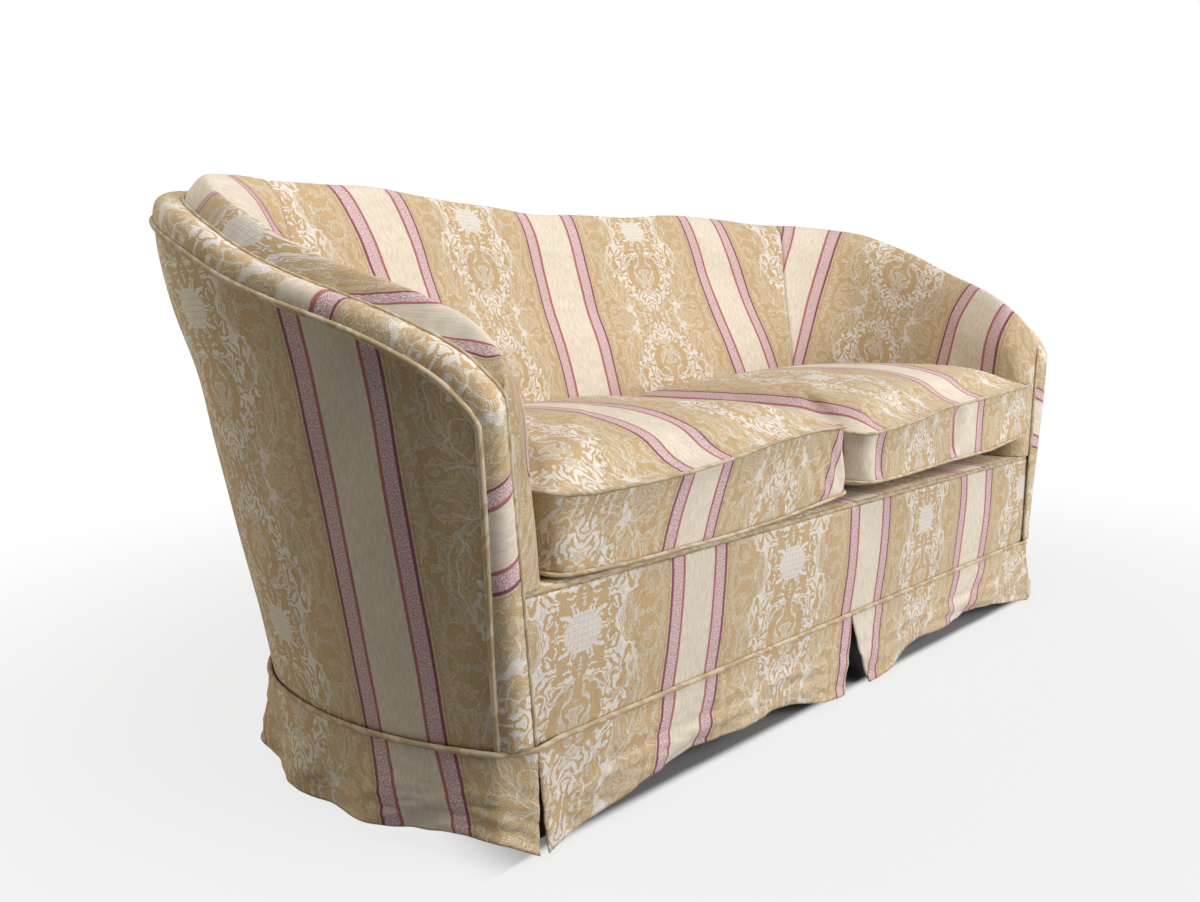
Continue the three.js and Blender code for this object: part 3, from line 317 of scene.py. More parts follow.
# %% [markdown]
# ## Outside covers
# Behind the arms and the back the cloth is stretched over the frame from the skirt's seam up to the
# outer welt. It isn't quite flat: it hollows a little between the boards and puckers where it is
# sewn to the welt. Both are worked into the surface, because a bump alone leaves its outline straight.

# %% Outside arms and outside back
TUCKED = 0.2  # share of a welt's radius at which a cover's edge disappears in it
SKIRT_HEAD = SKIRT["seam"] - WELT["skirt"] * TUCKED
STRIPE_TILT = 0.0755  # how far the outside arm's stripes lean backwards, per unit of height
PAIR_HEIGHT, OUTSIDE_PAIR = 0.3, 0.1353  # its pair's place along, at this height
FIGURE_DROP = 0.029  # of the figures on the arms' cloth
REPEAT = 0.42  # of the stripes across the cloth


def below_welt(along, radius):
    """How far below the welt's line a cover ends, measured upright: a share of the welt's radius
    times the length of the line per unit along."""
    slope = (welt_height(along + 0.0003) - welt_height(along - 0.0003)) / 0.0006
    return radius * TUCKED * np.hypot(1, slope)


def outside_grid(start, end, columns, rows, seed):
    """Rows from the skirt seam to just below the outer welt, columns along the outline."""
    along = np.linspace(start, end, columns)[None, :]
    share = np.linspace(0, 1, rows)[:, None]
    top = welt_height(along) - below_welt(along, WELT["radius"])
    height = lerp(SKIRT_HEAD, top, share)
    points = body_point(along, 0, height)
    held = np.sin(np.pi * share) ** 0.5
    hollow = 0.0012 * ripple(along + 0 * share, height, 0.17, seed) * held
    pucker = 0.0007 * np.sin(along * 2 * np.pi / 0.031 + 2 * ripple(along, height, 0.2, seed + 1))
    pucker = pucker * (np.exp(-(top - height) / 0.03) + np.exp(-(height - SKIRT_HEAD) / 0.02))
    inside = np.stack([*inwards(folded(along + 0 * share)), 0 * share * along], -1)
    inside[..., 0] *= np.where(along > HALF, -1, 1)
    points = points + inside * (0.0016 + hollow + pucker * held)[..., None]
    return points, along + 0 * share, height


outside_covers = {}
points, along, height = outside_grid(WELT["radius"] * TUCKED, PAD["seam"] - SEAM, 96, 96, 3)
tilted = along - STRIPE_TILT * (height - PAIR_HEIGHT) - OUTSIDE_PAIR
outside_cloth = np.stack([tilted, height - FIGURE_DROP], -1)
for side, sign in SIDES.items():
    name = f"outside_arm_{side}"
    outside_covers[name] = sheet_piece(name, on_side(points, sign), outside_cloth, (-5 * sign, 0, 0.4))
points, along, height = outside_grid(PAD["seam"] + SEAM, 2 * HALF - PAD["seam"] - SEAM, 150, 90, 9)
back_cloth = np.stack([along - HALF + REPEAT / 2, height], -1)
outside_back = sheet_piece("outside_back", points, back_cloth, (0, 5, 0.4))
print({name: [round(size, 3) for size in cut] for name, cut in CUT_SIZES.items()})

# %% [markdown]
# ## The band between the two welts
# One narrow strip faces the arm's front and runs on over arm and back. It is stuffed, so it swells
# between its seams. Its cloth is cut across the stripes, which is why they cross it as short bars.

# %% Band over arms and back
BAND_CLOTH = 0.004  # cloth and its lining
BAND_FOOT = SKIRT["seam"] + WELT["skirt"] + SEAM
ARM_RISE = WELT["arm"] - BAND_FOOT
BAND_FROM = WELT["radius"] * TUCKED / BAND["width"]
BAND_TO = 1 - WELT["inner"] * TUCKED / BAND["width"]


def band_surface(share, run):
    """Up the arm's front first, where only the height changes, and then along the outline."""
    up = np.minimum(run, ARM_RISE)
    along = np.maximum(run - ARM_RISE, 0)
    rise = BAND["rise"] * share * up / ARM_RISE
    height = np.where(run < ARM_RISE, BAND_FOOT + up, welt_height(along)) + rise
    return body_point(along, BAND["width"] * share, height)


def band_grid(runs, rows, seed):
    """The band's surface moved out by its swell: the bulge times one less the square of the distance
    from its middle."""
    share = np.linspace(BAND_FROM, BAND_TO, rows)[:, None]
    run = runs[None, :]
    points = band_surface(share, run)
    across = band_surface(share + 0.02, run) - band_surface(share - 0.02, run)
    onward = band_surface(share, run + 0.004) - band_surface(share, run - 0.004)
    out = np.cross(across, onward)
    out /= np.linalg.norm(out, axis=-1, keepdims=True)
    along = folded(np.maximum(run - ARM_RISE, 0))
    bulge = lerp(BAND["front_bulge"], BAND["back_bulge"], smooth(along / PAD["seam"]))
    middle = (BAND_FROM + BAND_TO) / 2
    off = (share - middle) / (BAND_TO - middle)
    uneven = 3 * ripple(run + 0 * share, share * 0.05, 0.1, seed)
    pucker = 0.0011 * np.sin(run * 2 * np.pi / 0.021 + uneven)
    swell = bulge * (1 - off**2) + pucker * (1 - off**2) * off**2 * 3
    return points + out * swell[..., None], share, run


# Run along the arm's band and the cloth's own place there. The step after the fourth row is a join.
BAND_STRIPES = [(0, -0.242), (0.1955, -0.0465), (0.2885, 0.0465), (0.5295, 0.3735), (0.5885, 0.4195)]
BAND_STRIPES += [(0.5890, 0.5400), (0.9400, 0.8050), (1.4, 1.2)]

band_pieces = {}
up_front = np.linspace(0, ARM_RISE - 0.012, 64)
arm_runs = np.concatenate([up_front, ARM_RISE + eased(110, 1.3, PAD["seam"] - SEAM)])
arm_runs = np.sort(np.concatenate([arm_runs, [row[0] for row in BAND_STRIPES[4:6]]]))
points, share, run = band_grid(arm_runs, 17, 21)
across = share * BAND["width"] + 0 * run
cloth = np.stack([np.interp(run, *np.array(BAND_STRIPES).T) + 0 * share, across], -1)
for side, sign in SIDES.items():
    placed = on_side(points, sign)
    band_pieces[side] = sheet_piece(f"band_{side}", placed, cloth, (-3 * sign, -3, 2.5), BAND_CLOTH)
back_runs = ARM_RISE + np.linspace(PAD["seam"] + SEAM, 2 * HALF - PAD["seam"] - SEAM, 190)
points, share, run = band_grid(back_runs, 17, 22)
across = share * BAND["width"] + 0 * run
cloth = np.stack([run - ARM_RISE - HALF + 0 * share + REPEAT / 2, across], -1)
band_pieces["back"] = sheet_piece("band_back", points, cloth, (0, 3, 4), BAND_CLOTH)
print("bands:", [round(CUT_SIZES[f"band_{part}"][0], 3) for part in ("left", "right", "back")], "m long")

# %% [markdown]
# ## Padding inside arms and back
# These are upholstered pads: a crest over the top, a rounded shoulder and a face that runs down
# behind the cushions. The section is a curve through five points, carried along the outline. Each
# pad is closed by a plain backing where it lies against webbing and boards, so it is a whole form
# and not a shell.

# %% Pads
PAD_EDGE = BAND["width"] + WELT["inner"] * TUCKED
PAD_LOW = DECK["height"] + SEAM
ARM_START = WELT["inner"] + SEAM
PAD_INSET = RAIL["inset"] + TIMBER + WEBBING["gap"] + WEBBING["thick"] + WEBBING["room"]


def pad_surface(share, along):
    """A Catmull-Rom curve from the inner seam over crest, shoulder and knee to the seat. Near the
    arm's front all of it is drawn to the seam as a quarter circle is, which rolls the front."""
    share, along = np.broadcast_arrays(share, along)
    place = folded(along)
    seam = welt_height(place) + BAND["rise"]
    turn = 1 - clamp01((place - ARM_START) / PAD["roll"])
    roll = lerp(0.05, 1, np.sqrt(1 - turn**2))
    seat = lerp(PAD["arm"], PAD["back"], smooth(place / PAD["thickening"]))
    crest_rise = lerp(PAD["arm_rise"], PAD["back_rise"], smooth((place - PAD["seam"]) / PAD["growth"]))
    knee = lerp(PAD["shoulder"], seat, 0.5)
    full = (PAD["crest"], PAD["shoulder"], knee, seat)
    insets = [PAD_EDGE, *(lerp(PAD_EDGE, inset, roll) for inset in full)]
    knee_height = lerp(seam - PAD["drop"], PAD_LOW, 0.4)
    heights = [seam, seam + crest_rise * roll, seam - PAD["drop"], knee_height, PAD_LOW + 0 * seam]
    nodes = np.stack([np.stack([a + 0 * seam, h], -1) for a, h in zip(insets, heights)])
    k = np.minimum((share * 4).astype(int), 3)
    t = (share * 4 - k)[..., None]
    around = [np.clip(k + step, 0, 4)[None, ..., None] for step in (-1, 0, 1, 2)]
    p0, p1, p2, p3 = (np.take_along_axis(nodes, spot, 0)[0] for spot in around)
    v0, v1 = (p2 - p0) / 2, (p3 - p1) / 2
    curve = (2 * p1 - 2 * p2 + v0 + v1) * t**3 + (3 * p2 - 3 * p1 - 2 * v0 - v1) * t**2 + v0 * t + p1
    return body_point(along, curve[..., 0], np.maximum(PAD_LOW, curve[..., 1]))


def pad_piece(name, along, rows, cloth_of, seed, sign=1):
    """The face from seam to seat, then a backing up the webbing's plane, closed into one form whose
    ends are drawn together. The face is moved out by dents and, near its seam, by tucks. The cloth's
    place is the way along one row, but round the rolled front it is each row's own way."""
    share = np.linspace(0, 1, rows)[:, None]
    face = pad_surface(share, along[None, :])
    down = run_length(face, 0)
    walk = run_length(face, 1)[rows // 3][None, :] + 0 * share
    out = normals_of(face)
    soft = np.sin(np.pi * clamp01(share)) ** 0.7 * np.ones_like(walk)
    edge = np.minimum(walk, walk[:, -1:] - walk)
    dents = 0.0022 * ripple(walk, down, 0.16, seed) * soft * smooth(edge / 0.06)
    tucks = 0.0012 * np.sin(walk * 2 * np.pi / 0.034 + 2 * ripple(walk, down, 0.12, seed + 5))
    dents = dents + tucks * np.exp(-down / 0.03) * np.sin(np.pi * share) ** 0.3
    look_up = np.sign(out[rows // 4, len(along) // 2, 2]) or 1
    face = face + out * look_up * dents[..., None]
    face[..., 2] = np.maximum(face[..., 2], PAD_LOW)
    seam = welt_height(along)[None, :] + BAND["rise"] - 3 * CLOTH
    back_share = np.linspace(0, 1, 12)[:, None]
    backing_inset = np.minimum(PAD_INSET, pad_depth(along))[None, :]
    backing_height = lerp(PAD_LOW, seam, back_share)
    backing = body_point(along[None, :], backing_inset + 0 * back_share, backing_height)
    whole = np.concatenate([face, backing])
    rolled = int(np.argmax(along >= PAD["roll"])) if along[0] < PAD["roll"] else 0
    onward = run_length(face, 1)
    before = walk[:, [rolled]] + onward - onward[:, [rolled]]
    marks = cloth_of(np.where(np.arange(len(along)) < rolled, before, walk), down)
    hidden = np.stack([walk[:12], 0.8 + back_share + 0 * walk[:12]], -1)
    marks = np.concatenate([marks, hidden])
    whole = np.swapaxes(whole, 0, 1)
    marks = np.swapaxes(marks, 0, 1)
    marks = np.concatenate([marks, marks[:, :1]], 1)
    whole, marks = capped(whole, marks)
    piece = grid_piece(name, on_side(whole, sign), marks, None, around=True)
    weld(piece)
    print(name, f"face {surface_area(face):.3f} m2, {len(piece.data.polygons)} faces")
    return piece


def pad_depth(along):
    """The inset of the backing: the webbing's plane, and less at the arm's front, where the roll
    leaves no room behind it."""
    turn = 1 - clamp01((folded(along) - ARM_START) / PAD["roll"])
    return lerp(PAD_EDGE + 0.001, PAD_INSET, np.sqrt(1 - turn**2))


def weld(piece):
    """Merges points that coincide, such as those of a drawn-together end."""
    bpy.context.view_layer.objects.active = piece
    merge = piece.modifiers.new("merge", "WELD")
    merge.merge_threshold = 0.00001
    apply_all(piece)


def apply_all(piece):
    """Applies a piece's modifiers and keeps the result as its mesh."""
    shape = bpy.data.meshes.new_from_object(piece.evaluated_get(bpy.context.evaluated_depsgraph_get()))
    piece.modifiers.clear()
    piece.data = shape


# Where the rose stripes lie across each pad at 0.13 or 0.25 below its seam, and across the cloth.
ARM_STRIPES = [(-0.30, -0.272), (0.018, -0.0465), (0.151, 0.0465), (0.574, 0.3735)]
ARM_STRIPES += [(0.692, 0.4665), (0.9, 0.64)]
BACK_STRIPES = [(-0.80, -0.745), (-0.445, -0.4665), (-0.338, -0.3735), (-0.0565, -0.0465), (0.0675, 0.0465)]
BACK_STRIPES += [(0.4315, 0.3735), (0.5465, 0.4665), (0.88, 0.76)]


def right_arm_cloth(walk, down):
    """Stripes on the arm. The cloth was pulled round a double curve, so they lean backwards as they
    go down."""
    place = walk - 0.10
    moved = place - (down - 0.12) * (0.10 + 0.40 * place)
    return np.stack([np.interp(moved, *np.array(ARM_STRIPES).T), 0.2154 - down], -1)


def left_arm_cloth(walk, down):
    """As on the right, but the left arm's cloth was pulled forward over the crest, so that its
    stripes slant there; behind, it was pulled into the corner and its second pair of stripes is
    gathered into folds."""
    marks = right_arm_cloth(walk, down)
    place = walk - 0.10
    crest = 0.13 * (1 - np.exp(-down / 0.06)) * (1 - smooth((down - 0.09) / 0.12))
    crest = crest * (1 - smooth((place - 0.15) / 0.25)) * smooth((place + 0.10) / 0.06)
    corner = np.clip(0.09 - 0.74 * (place - 0.435), -0.03, 0.09) * smooth((place - 0.30) / 0.13)
    u = marks[..., 0] + crest + corner * (1 - smooth((down - 0.06) / 0.30))
    drawn = 1 + 1.6 * (1 - smooth((down - 0.03) / 0.20))
    u = np.where(u > 0.34, 0.34 + (u - 0.34) * drawn, u)
    marks[..., 0] = np.where(u > 0.50, 0.50 + (u - 0.50) * 0.25, u)
    return marks


def back_cloth_of(walk, down):
    """Stripes on the back: they lean outwards as they go down, more so away from the middle."""
    place = walk - walk[:, -1:] / 2
    moved = place - (down - 0.25) * (0.09 + 0.9 * np.minimum(place**2, 0.25))
    return np.stack([np.interp(moved, *np.array(BACK_STRIPES).T), 0.30 - down], -1)


pads = {}
arm_along = ARM_START + eased(110, 1.4, PAD["seam"] - SEAM - ARM_START)
for side, sign in SIDES.items():
    arm_cloth = left_arm_cloth if side == "left" else right_arm_cloth
    pads[side] = pad_piece(f"inside_arm_{side}", arm_along, 80, arm_cloth, 31, sign)
back_along = np.linspace(PAD["seam"] + SEAM, 2 * HALF - PAD["seam"] - SEAM, 150)
pads["back"] = pad_piece("inside_back", back_along, 80, back_cloth_of, 41)

# %% [markdown]
# ## Welts
# A welt is a cord wrapped in cloth and sewn into a seam. It is a round profile carried along the
# seam's line; the frame of each ring is kept from twisting by turning it no more than the line does.

# %% Round cords along a line
def cord_piece(name, line, radius, sides=10, closed=False):
    """A circle carried along a line. Each ring's first axis is square to the line and to upright (or
    to forward, where the line itself climbs), and it is the mean over nine rings, less its part
    along the line, so that it doesn't twist."""
    line = np.asarray(line)
    ahead = np.roll(line, -1, 0) - np.roll(line, 1, 0)
    if not closed:
        ahead[0], ahead[-1] = line[1] - line[0], line[-1] - line[-2]
    ahead /= np.linalg.norm(ahead, axis=1, keepdims=True)
    up = np.array([0.0, 0.0, 1.0]) + 0 * ahead
    steep = np.abs(ahead[:, 2:]) > 0.8
    up = np.where(steep, np.array([0.0, -1.0, 0.0]), up)
    side = np.cross(ahead, up)
    padded = np.pad(side, ((4, 4), (0, 0)), mode="edge")
    blend = np.stack([np.convolve(padded[:, k], np.ones(9) / 9, "valid") for k in range(3)], 1)
    side = blend - (blend * ahead).sum(1, keepdims=True) * ahead
    side /= np.linalg.norm(side, axis=1, keepdims=True)
    up = np.cross(side, ahead)
    turn = np.linspace(0, 2 * np.pi, sides + 1)[None, :, None]
    length = run_length(line[:, None], 0)
    rings = line[:, None] + radius * (np.cos(turn) * side[:, None] + np.sin(turn) * up[:, None])
    marks = np.stack([length + 0 * turn[..., 0], radius * turn[..., 0] + 0 * length], -1)
    rings = rings[:, :-1]
    if closed:
        rings = np.concatenate([rings, rings[:1]])
        again = marks[:1].copy()
        again[..., 0] += length[-1, 0] + np.linalg.norm(line[0] - line[-1])
        marks = np.concatenate([marks, again])
    else:
        first, last = line[:1, None] + 0 * rings[:1], line[-1:, None] + 0 * rings[-1:]
        rings, marks = capped(rings, marks, first, last)
    piece = grid_piece(name, rings, marks, None, around=True)
    weld(piece)
    return piece


def both_halves(left):
    """A line over the left half, continued as its mirror image."""
    return np.concatenate([left, on_side(left, -1)[-2::-1]])


welts = {}
welt_runs = np.concatenate([np.linspace(0, ARM_RISE - 0.004, 60), ARM_RISE + eased(200, 1.2, HALF)])
outer_line = band_surface(0 * welt_runs, welt_runs)
inner_line = band_surface(0 * welt_runs + 1, welt_runs)
welts["outer_welt"] = cord_piece("welt_outer", both_halves(outer_line), WELT["radius"], 12)
welts["inner_welt"] = cord_piece("welt_inner", both_halves(inner_line), WELT["inner"], 10)
band_inside = float(body_point(np.array(0.0), BAND["width"], SKIRT["seam"])[0])
APRON_END = -band_inside + 0.016  # its ends lie behind the bands
deck_x = np.linspace(-APRON_END, APRON_END, 140)
deck_seam = (DECK["front"] + WELT["radius"] + SHIFT, DECK["height"] - WELT["radius"])
deck_line = np.stack([deck_x, *(0 * deck_x + place for place in deck_seam)], 1)
welts["deck_welt"] = cord_piece("welt_deck", deck_line, WELT["radius"], 12)
print({name: len(piece.data.polygons) for name, piece in welts.items()})

# %% [markdown]
# ## Skirt
# Five panels hang from the skirt seam to just off the floor. Each is a sheet of cloth, so it is
# made as one: it falls a little outwards, waves softly towards its hem and lifts between its ends.

# %% The line the skirt hangs from
FRONT_Y = DECK["front"] + SHIFT
corner_points = body_point(np.array(0.0), BAND["width"], SKIRT["seam"])[None, :2]
side_points = body_point(np.linspace(0, HALF, 180), 0, SKIRT["seam"])[:, :2]
front_points = np.stack([np.linspace(0, band_inside + BAND["width"], 60), np.full(60, FRONT_Y)], 1)
hang_line = np.concatenate([front_points, corner_points, side_points])
steps = np.diff(hang_line, axis=0)
hang_length = np.concatenate([[0], np.cumsum(np.hypot(*steps.T))])
square = np.stack([-steps[:, 1], steps[:, 0]], 1)
square /= np.linalg.norm(square, axis=1, keepdims=True)
before = np.concatenate([[[0, -1]], square])
after = np.concatenate([square, [[0, 1]]])
mitre = before + after
mitre = mitre * 2 / (mitre**2).sum(1, keepdims=True)
HANG_END = hang_length[-1]
SLIT_FRONT = hang_length[len(front_points)]
SLIT_BEHIND = hang_length[len(front_points) + 1] + SKIRT["corner"]
print(f"slits at {SLIT_FRONT:.4f} and {SLIT_BEHIND:.4f}, half line {HANG_END:.4f} m")


def hang_point(length, out, height):
    """Point on the hanging line moved out along the mitred direction, mirrored beyond the middle of
    the back."""
    length, out, height = np.broadcast_arrays(length, out, height)
    place = np.where(length > HANG_END, 2 * HANG_END - length, length)
    x, y = (np.interp(place, hang_length, hang_line[:, k]) for k in (0, 1))
    ox, oy = (np.interp(place, hang_length, mitre[:, k]) for k in (0, 1))
    left = x + ox * out
    return np.stack([np.where(length > HANG_END, -left, left), y + oy * out, height], -1)


skirt_out = WELT["skirt"] + SEAM
skirt_run = np.concatenate([hang_length[:-1], [HANG_END - SEAM]])
skirt_half = hang_point(skirt_run, skirt_out, SKIRT["seam"])
skirt_line = np.concatenate([on_side(skirt_half, -1)[:0:-1], skirt_half])
welts["skirt_welt"] = cord_piece("welt_skirt", skirt_line, WELT["skirt"], 10)

# %% [markdown]
# ### The panels
# Where two panels meet there is a split, and each hem draws back from it. A hanging sheet could be
# dropped by simulation, but the photographed skirt has set into soft waves over the years, and waves
# that are written down stay the same each time the lesson runs.

# %% Skirt panels
SLITS = {"middle": 0.072, "corner": 0.010, "behind": 0.008}  # how far each opens at the hem
WIDE_SLIT = 0.010  # a slit that opens further has ends that curl out


def skirt_grid(start, end, opening, hem_table, folds, seed):
    """Out by the welt's depth at the head, and further down by the flare, the folds and two finer
    waves. Both ends draw back from their slits by half of each opening, and curl out at a wide one."""
    t = np.linspace(0, 1, int((end - start) / 0.006))[None, :]
    down = np.linspace(0, 1, 30)[:, None]
    drawn = down**1.3 / 2
    at = lerp(start + 0.0005 + opening[0] * drawn, end - 0.0005 - opening[1] * drawn, t)
    hem = SKIRT["hem"] + SKIRT["arch"] * through_table(hem_table, t)
    wave = np.sin(2 * np.pi * folds * t) * 0.005 + 0.0030 * ripple(at, 0.3 * down, 0.10, seed)
    wave = wave + 0.0012 * ripple(at, 0.5 * down, 0.04, seed + 1)
    gather = 0.0009 * np.sin(at * 2 * np.pi / 0.016 + 3 * ripple(at, down, 0.06, seed + 2))
    gather = gather * np.exp(-down / 0.12) * (1 - np.exp(-down / 0.03))
    wide = [float(gap > WIDE_SLIT) for gap in opening]
    curl = np.exp(-(at - start) / 0.025) * wide[0] + np.exp((at - end) / 0.025) * wide[1]
    out = skirt_out + CLOTH / 2 + (SKIRT["flare"] + wave + 0.006 * curl) * down**1.2 + gather
    points = hang_point(at, out, lerp(SKIRT_HEAD, hem, down))
    cloth = np.stack([at + 0 * down, points[..., 2]], -1)
    return points, cloth


# Where the rose stripes lie along x at the deck's edge, and across the cloth.
FRONT_STRIPES = [(-1.2, -0.842), (-0.4045, -0.0465), (-0.321, 0.0465), (0.0115, 0.3735), (0.109, 0.4665)]
FRONT_STRIPES += [(0.382, 0.7935), (0.490, 0.8865), (1.2, 1.62)]
FRONT_DROP = 0.045  # of the figures in front
SIDE_PAIR = {"at": 0.150, "tilt": 0.25, "height": 0.118}  # the pair on a side panel, from its slit


def front_stripes(x, height):
    """The upholsterer's cut in front: three pairs of stripes, which lean to the left as they go down,
    ever more towards the skirt."""
    lean = 0.028 * clamp01((0.305 - height) / 0.19) ** 1.6
    lean = lean + (0.35 + 0.5 * smooth(x / 0.5)) * np.maximum(0.114 - height, 0)
    return np.interp(x + lean, *np.array(FRONT_STRIPES).T)


skirts = {}
points, cloth = skirt_grid(0, SLIT_FRONT, (SLITS["middle"], SLITS["corner"]), HEM_FRONT, 3, 51)
for side, sign in SIDES.items():
    placed, name = on_side(points, sign), f"skirt_panel_front_{side}"
    marks = np.stack([front_stripes(placed[..., 0], cloth[..., 1]), cloth[..., 1] - FRONT_DROP], -1)
    skirts[f"skirt_front_{side}"] = sheet_piece(name, placed, marks, (0, -5, 0.1))
points, cloth = skirt_grid(SLIT_FRONT, SLIT_BEHIND, (SLITS["corner"], SLITS["behind"]), HEM_SIDE, 4, 61)
across = cloth[..., 0] - SLIT_FRONT - SIDE_PAIR["at"]
across = across + SIDE_PAIR["tilt"] * (SIDE_PAIR["height"] - cloth[..., 1])
marks = np.stack([across, cloth[..., 1] - FIGURE_DROP], -1)
for side, sign in SIDES.items():
    placed, name = on_side(points, sign), f"skirt_panel_side_{side}"
    skirts[f"skirt_side_{side}"] = sheet_piece(name, placed, marks, (-5 * sign, -1, 0.1))
slits = (SLITS["behind"], SLITS["behind"])
points, cloth = skirt_grid(SLIT_BEHIND, 2 * HANG_END - SLIT_BEHIND, slits, HEM_FRONT, 10, 71)
marks = np.stack([cloth[..., 0] - HANG_END + REPEAT / 2, cloth[..., 1]], -1)
skirts["skirt_back"] = sheet_piece("skirt_panel_back", points, marks, (0, 5, 0.1))
print("skirt panels:", [round(piece.dimensions.x, 3) for piece in skirts.values()], "m across")

# %% [markdown]
# ## Deck and apron
# Under the cushions lies the deck, a flat thin pad, and in front of it the apron, cloth stretched
# down over the front rail from the deck's welt to the skirt's.

# %% Deck, apron and the covers below
def seat_outline(front, inset, height, count):
    """Half of a layer's edge, from where it meets the front line to the middle of the back: the
    body's line at that inset, cut off in front."""
    along = np.linspace(0, HALF, 4001)
    line = body_point(along, inset, height)
    start = int(np.argmax(line[:, 1] >= front + SHIFT))
    picked = along[start] + (HALF - along[start]) * np.linspace(0, 1, count)
    half = body_point(picked, inset, height)
    half[-1, 0] = 0
    return half


def seat_layer(name, front, inset, low, high, cols=90):
    """A flat layer: straight rows across the seat from edge to edge, a top and a bottom."""
    half = seat_outline(front, inset, RAIL["top"], cols)
    reach = np.linspace(0, 1, 61)[:, None]
    x = half[None, :, 0] * (1 - 2 * reach)
    upper, lower = (np.stack([x, half[None, :, 1] + 0 * x, z + 0 * x], -1) for z in (high, low))
    loop = np.concatenate([upper, lower[::-1]])
    loop = np.swapaxes(loop, 0, 1)
    marks = np.stack([front_stripes(loop[..., 0], high), loop[..., 1] - SHIFT + 0.24], -1)
    marks = np.concatenate([marks, marks[:, :1]], 1)
    edge = loop[:1] * np.array([1, 1, 0]) + np.array([0, 0, (low + high) / 2])
    loop, marks = capped(loop, marks, first=edge)
    piece = grid_piece(name, loop, marks, None, around=True)
    weld(piece)
    return piece


HESSIAN_DEPTH = 0.0012
HESSIAN_TOP = RAIL["top"] + SEAM + WEBBING["thick"] + SEAM + HESSIAN_DEPTH
deck_front = DECK["front"] + 2 * WELT["radius"] + SEAM
deck = seat_layer("deck_pad", deck_front, PAD_INSET, HESSIAN_TOP + SEAM, DECK["height"])
print("deck", len(deck.data.polygons), "faces")

apron_x = np.linspace(-APRON_END, APRON_END, 200)[None, :]
apron_share = np.linspace(0, 1, 40)[:, None]
apron_top = DECK["height"] - WELT["radius"] * (2 - TUCKED)
apron_z = lerp(SKIRT_HEAD, apron_top, apron_share) + 0 * apron_x
edge = np.minimum(apron_x + APRON_END, APRON_END - apron_x)
held = np.sin(np.pi * apron_share) ** 0.6 * smooth(edge / 0.03)
hollow = 0.0012 * ripple(apron_x, apron_z, 0.15, 81) - 0.0016
tucks = 0.0008 * np.sin(apron_x * 2 * np.pi / 0.027 + 2 * ripple(apron_x, apron_z, 0.2, 83))
tucks = tucks * (np.exp(-(apron_top - apron_z) / 0.02) + np.exp(-(apron_z - SKIRT_HEAD) / 0.02))
apron_y = DECK["front"] + SHIFT + (hollow + tucks) * held
apron_points = np.stack([apron_x + 0 * apron_y, apron_y, apron_z], -1)
apron_marks = np.stack([front_stripes(apron_points[..., 0], apron_z), apron_z - FRONT_DROP], -1)
apron = sheet_piece("apron", apron_points, apron_marks, (0, -5, 0.2))
print("apron", [round(size, 3) for size in CUT_SIZES["apron"]])

# %% [markdown]
# ## Webbing, hessian and dust cover
# What carries the seat isn't seen in a finished sofa, but a lifted cushion or a look from below is a
# fair question to a model. The straps are woven: at each crossing one of them rises by half a
# millimetre and the other dips. Hessian lies over them, and a black dust cover closes the underside,
# cut out round the five feet.

# %% Woven straps
def joined_grids(name, grids, seen_from):
    """One piece of several grids. Each grid's cloth place is the distance along and across it."""
    flats, faces, marks, start = [], [], [], 0
    for points in grids:
        rows, cols = points.shape[:2]
        ii, jj = cell_corners(rows - 1, cols - 1)
        cloth = np.stack([run_length(points, 1), run_length(points, 0)], -1)
        square = np.cross(points[-1, -1] - points[0, 0], points[0, -1] - points[-1, 0])
        order = slice(None, None, 1 if square @ (np.array(seen_from) - points[0, 0]) < 0 else -1)
        faces.append((start + ii * cols + jj).reshape(-1, 4)[:, order])
        marks.append(cloth[ii, jj].reshape(-1, 4, 2)[:, order])
        flats.append(points.reshape(-1, 3))
        start += rows * cols
    return mesh_piece(name, np.concatenate(flats), np.concatenate(faces), np.concatenate(marks), seen_from)


def crossing(place, spots, parity):
    """Half a millimetre up at every other crossing strap and down at the ones between: the cosine of
    pi times the number of straps passed."""
    return 0.0005 * np.cos(np.pi * (np.interp(place, spots, np.arange(len(spots))) + parity))


def strap_width(middle, width):
    """Five rows across a strap."""
    return np.linspace(middle - width / 2, middle + width / 2, 5)[:, None]


SEAT_STRAP, BACK_STRAP = 0.050, 0.046  # wide
FRONT_NAIL, BACK_FOOT = -0.3806, 0.2884  # where seat straps start in front and back straps at the foot
TOP_BOARD = {"below_welt": 0.010, "deep": 0.060, "lap": 0.012}
STRAP_MID = RAIL["top"] + SEAM + WEBBING["thick"] / 2
STRAP_X = (np.arange(6) - 2.5) * 0.19
STRAP_Y = np.array([-0.236, -0.086, 0.064])
edge_at_top = body_point(np.linspace(0, HALF, 3000), 0.022, RAIL["top"])
back_edge = edge_at_top[edge_at_top[:, 1] > 0.0]
side_edge = edge_at_top[edge_at_top[:, 1] < 0.2]
seat_straps = []
for k, x in enumerate(STRAP_X):
    end = float(np.interp(-(abs(x) + SEAT_STRAP / 2), back_edge[:, 0], back_edge[:, 1]))
    y = np.linspace(FRONT_NAIL, end, 90)[None, :]
    wide = strap_width(x, SEAT_STRAP)
    height = STRAP_MID + crossing(y, STRAP_Y, k)
    seat_straps.append(np.stack([wide + 0 * y, y + 0 * wide, height + 0 * wide], -1))
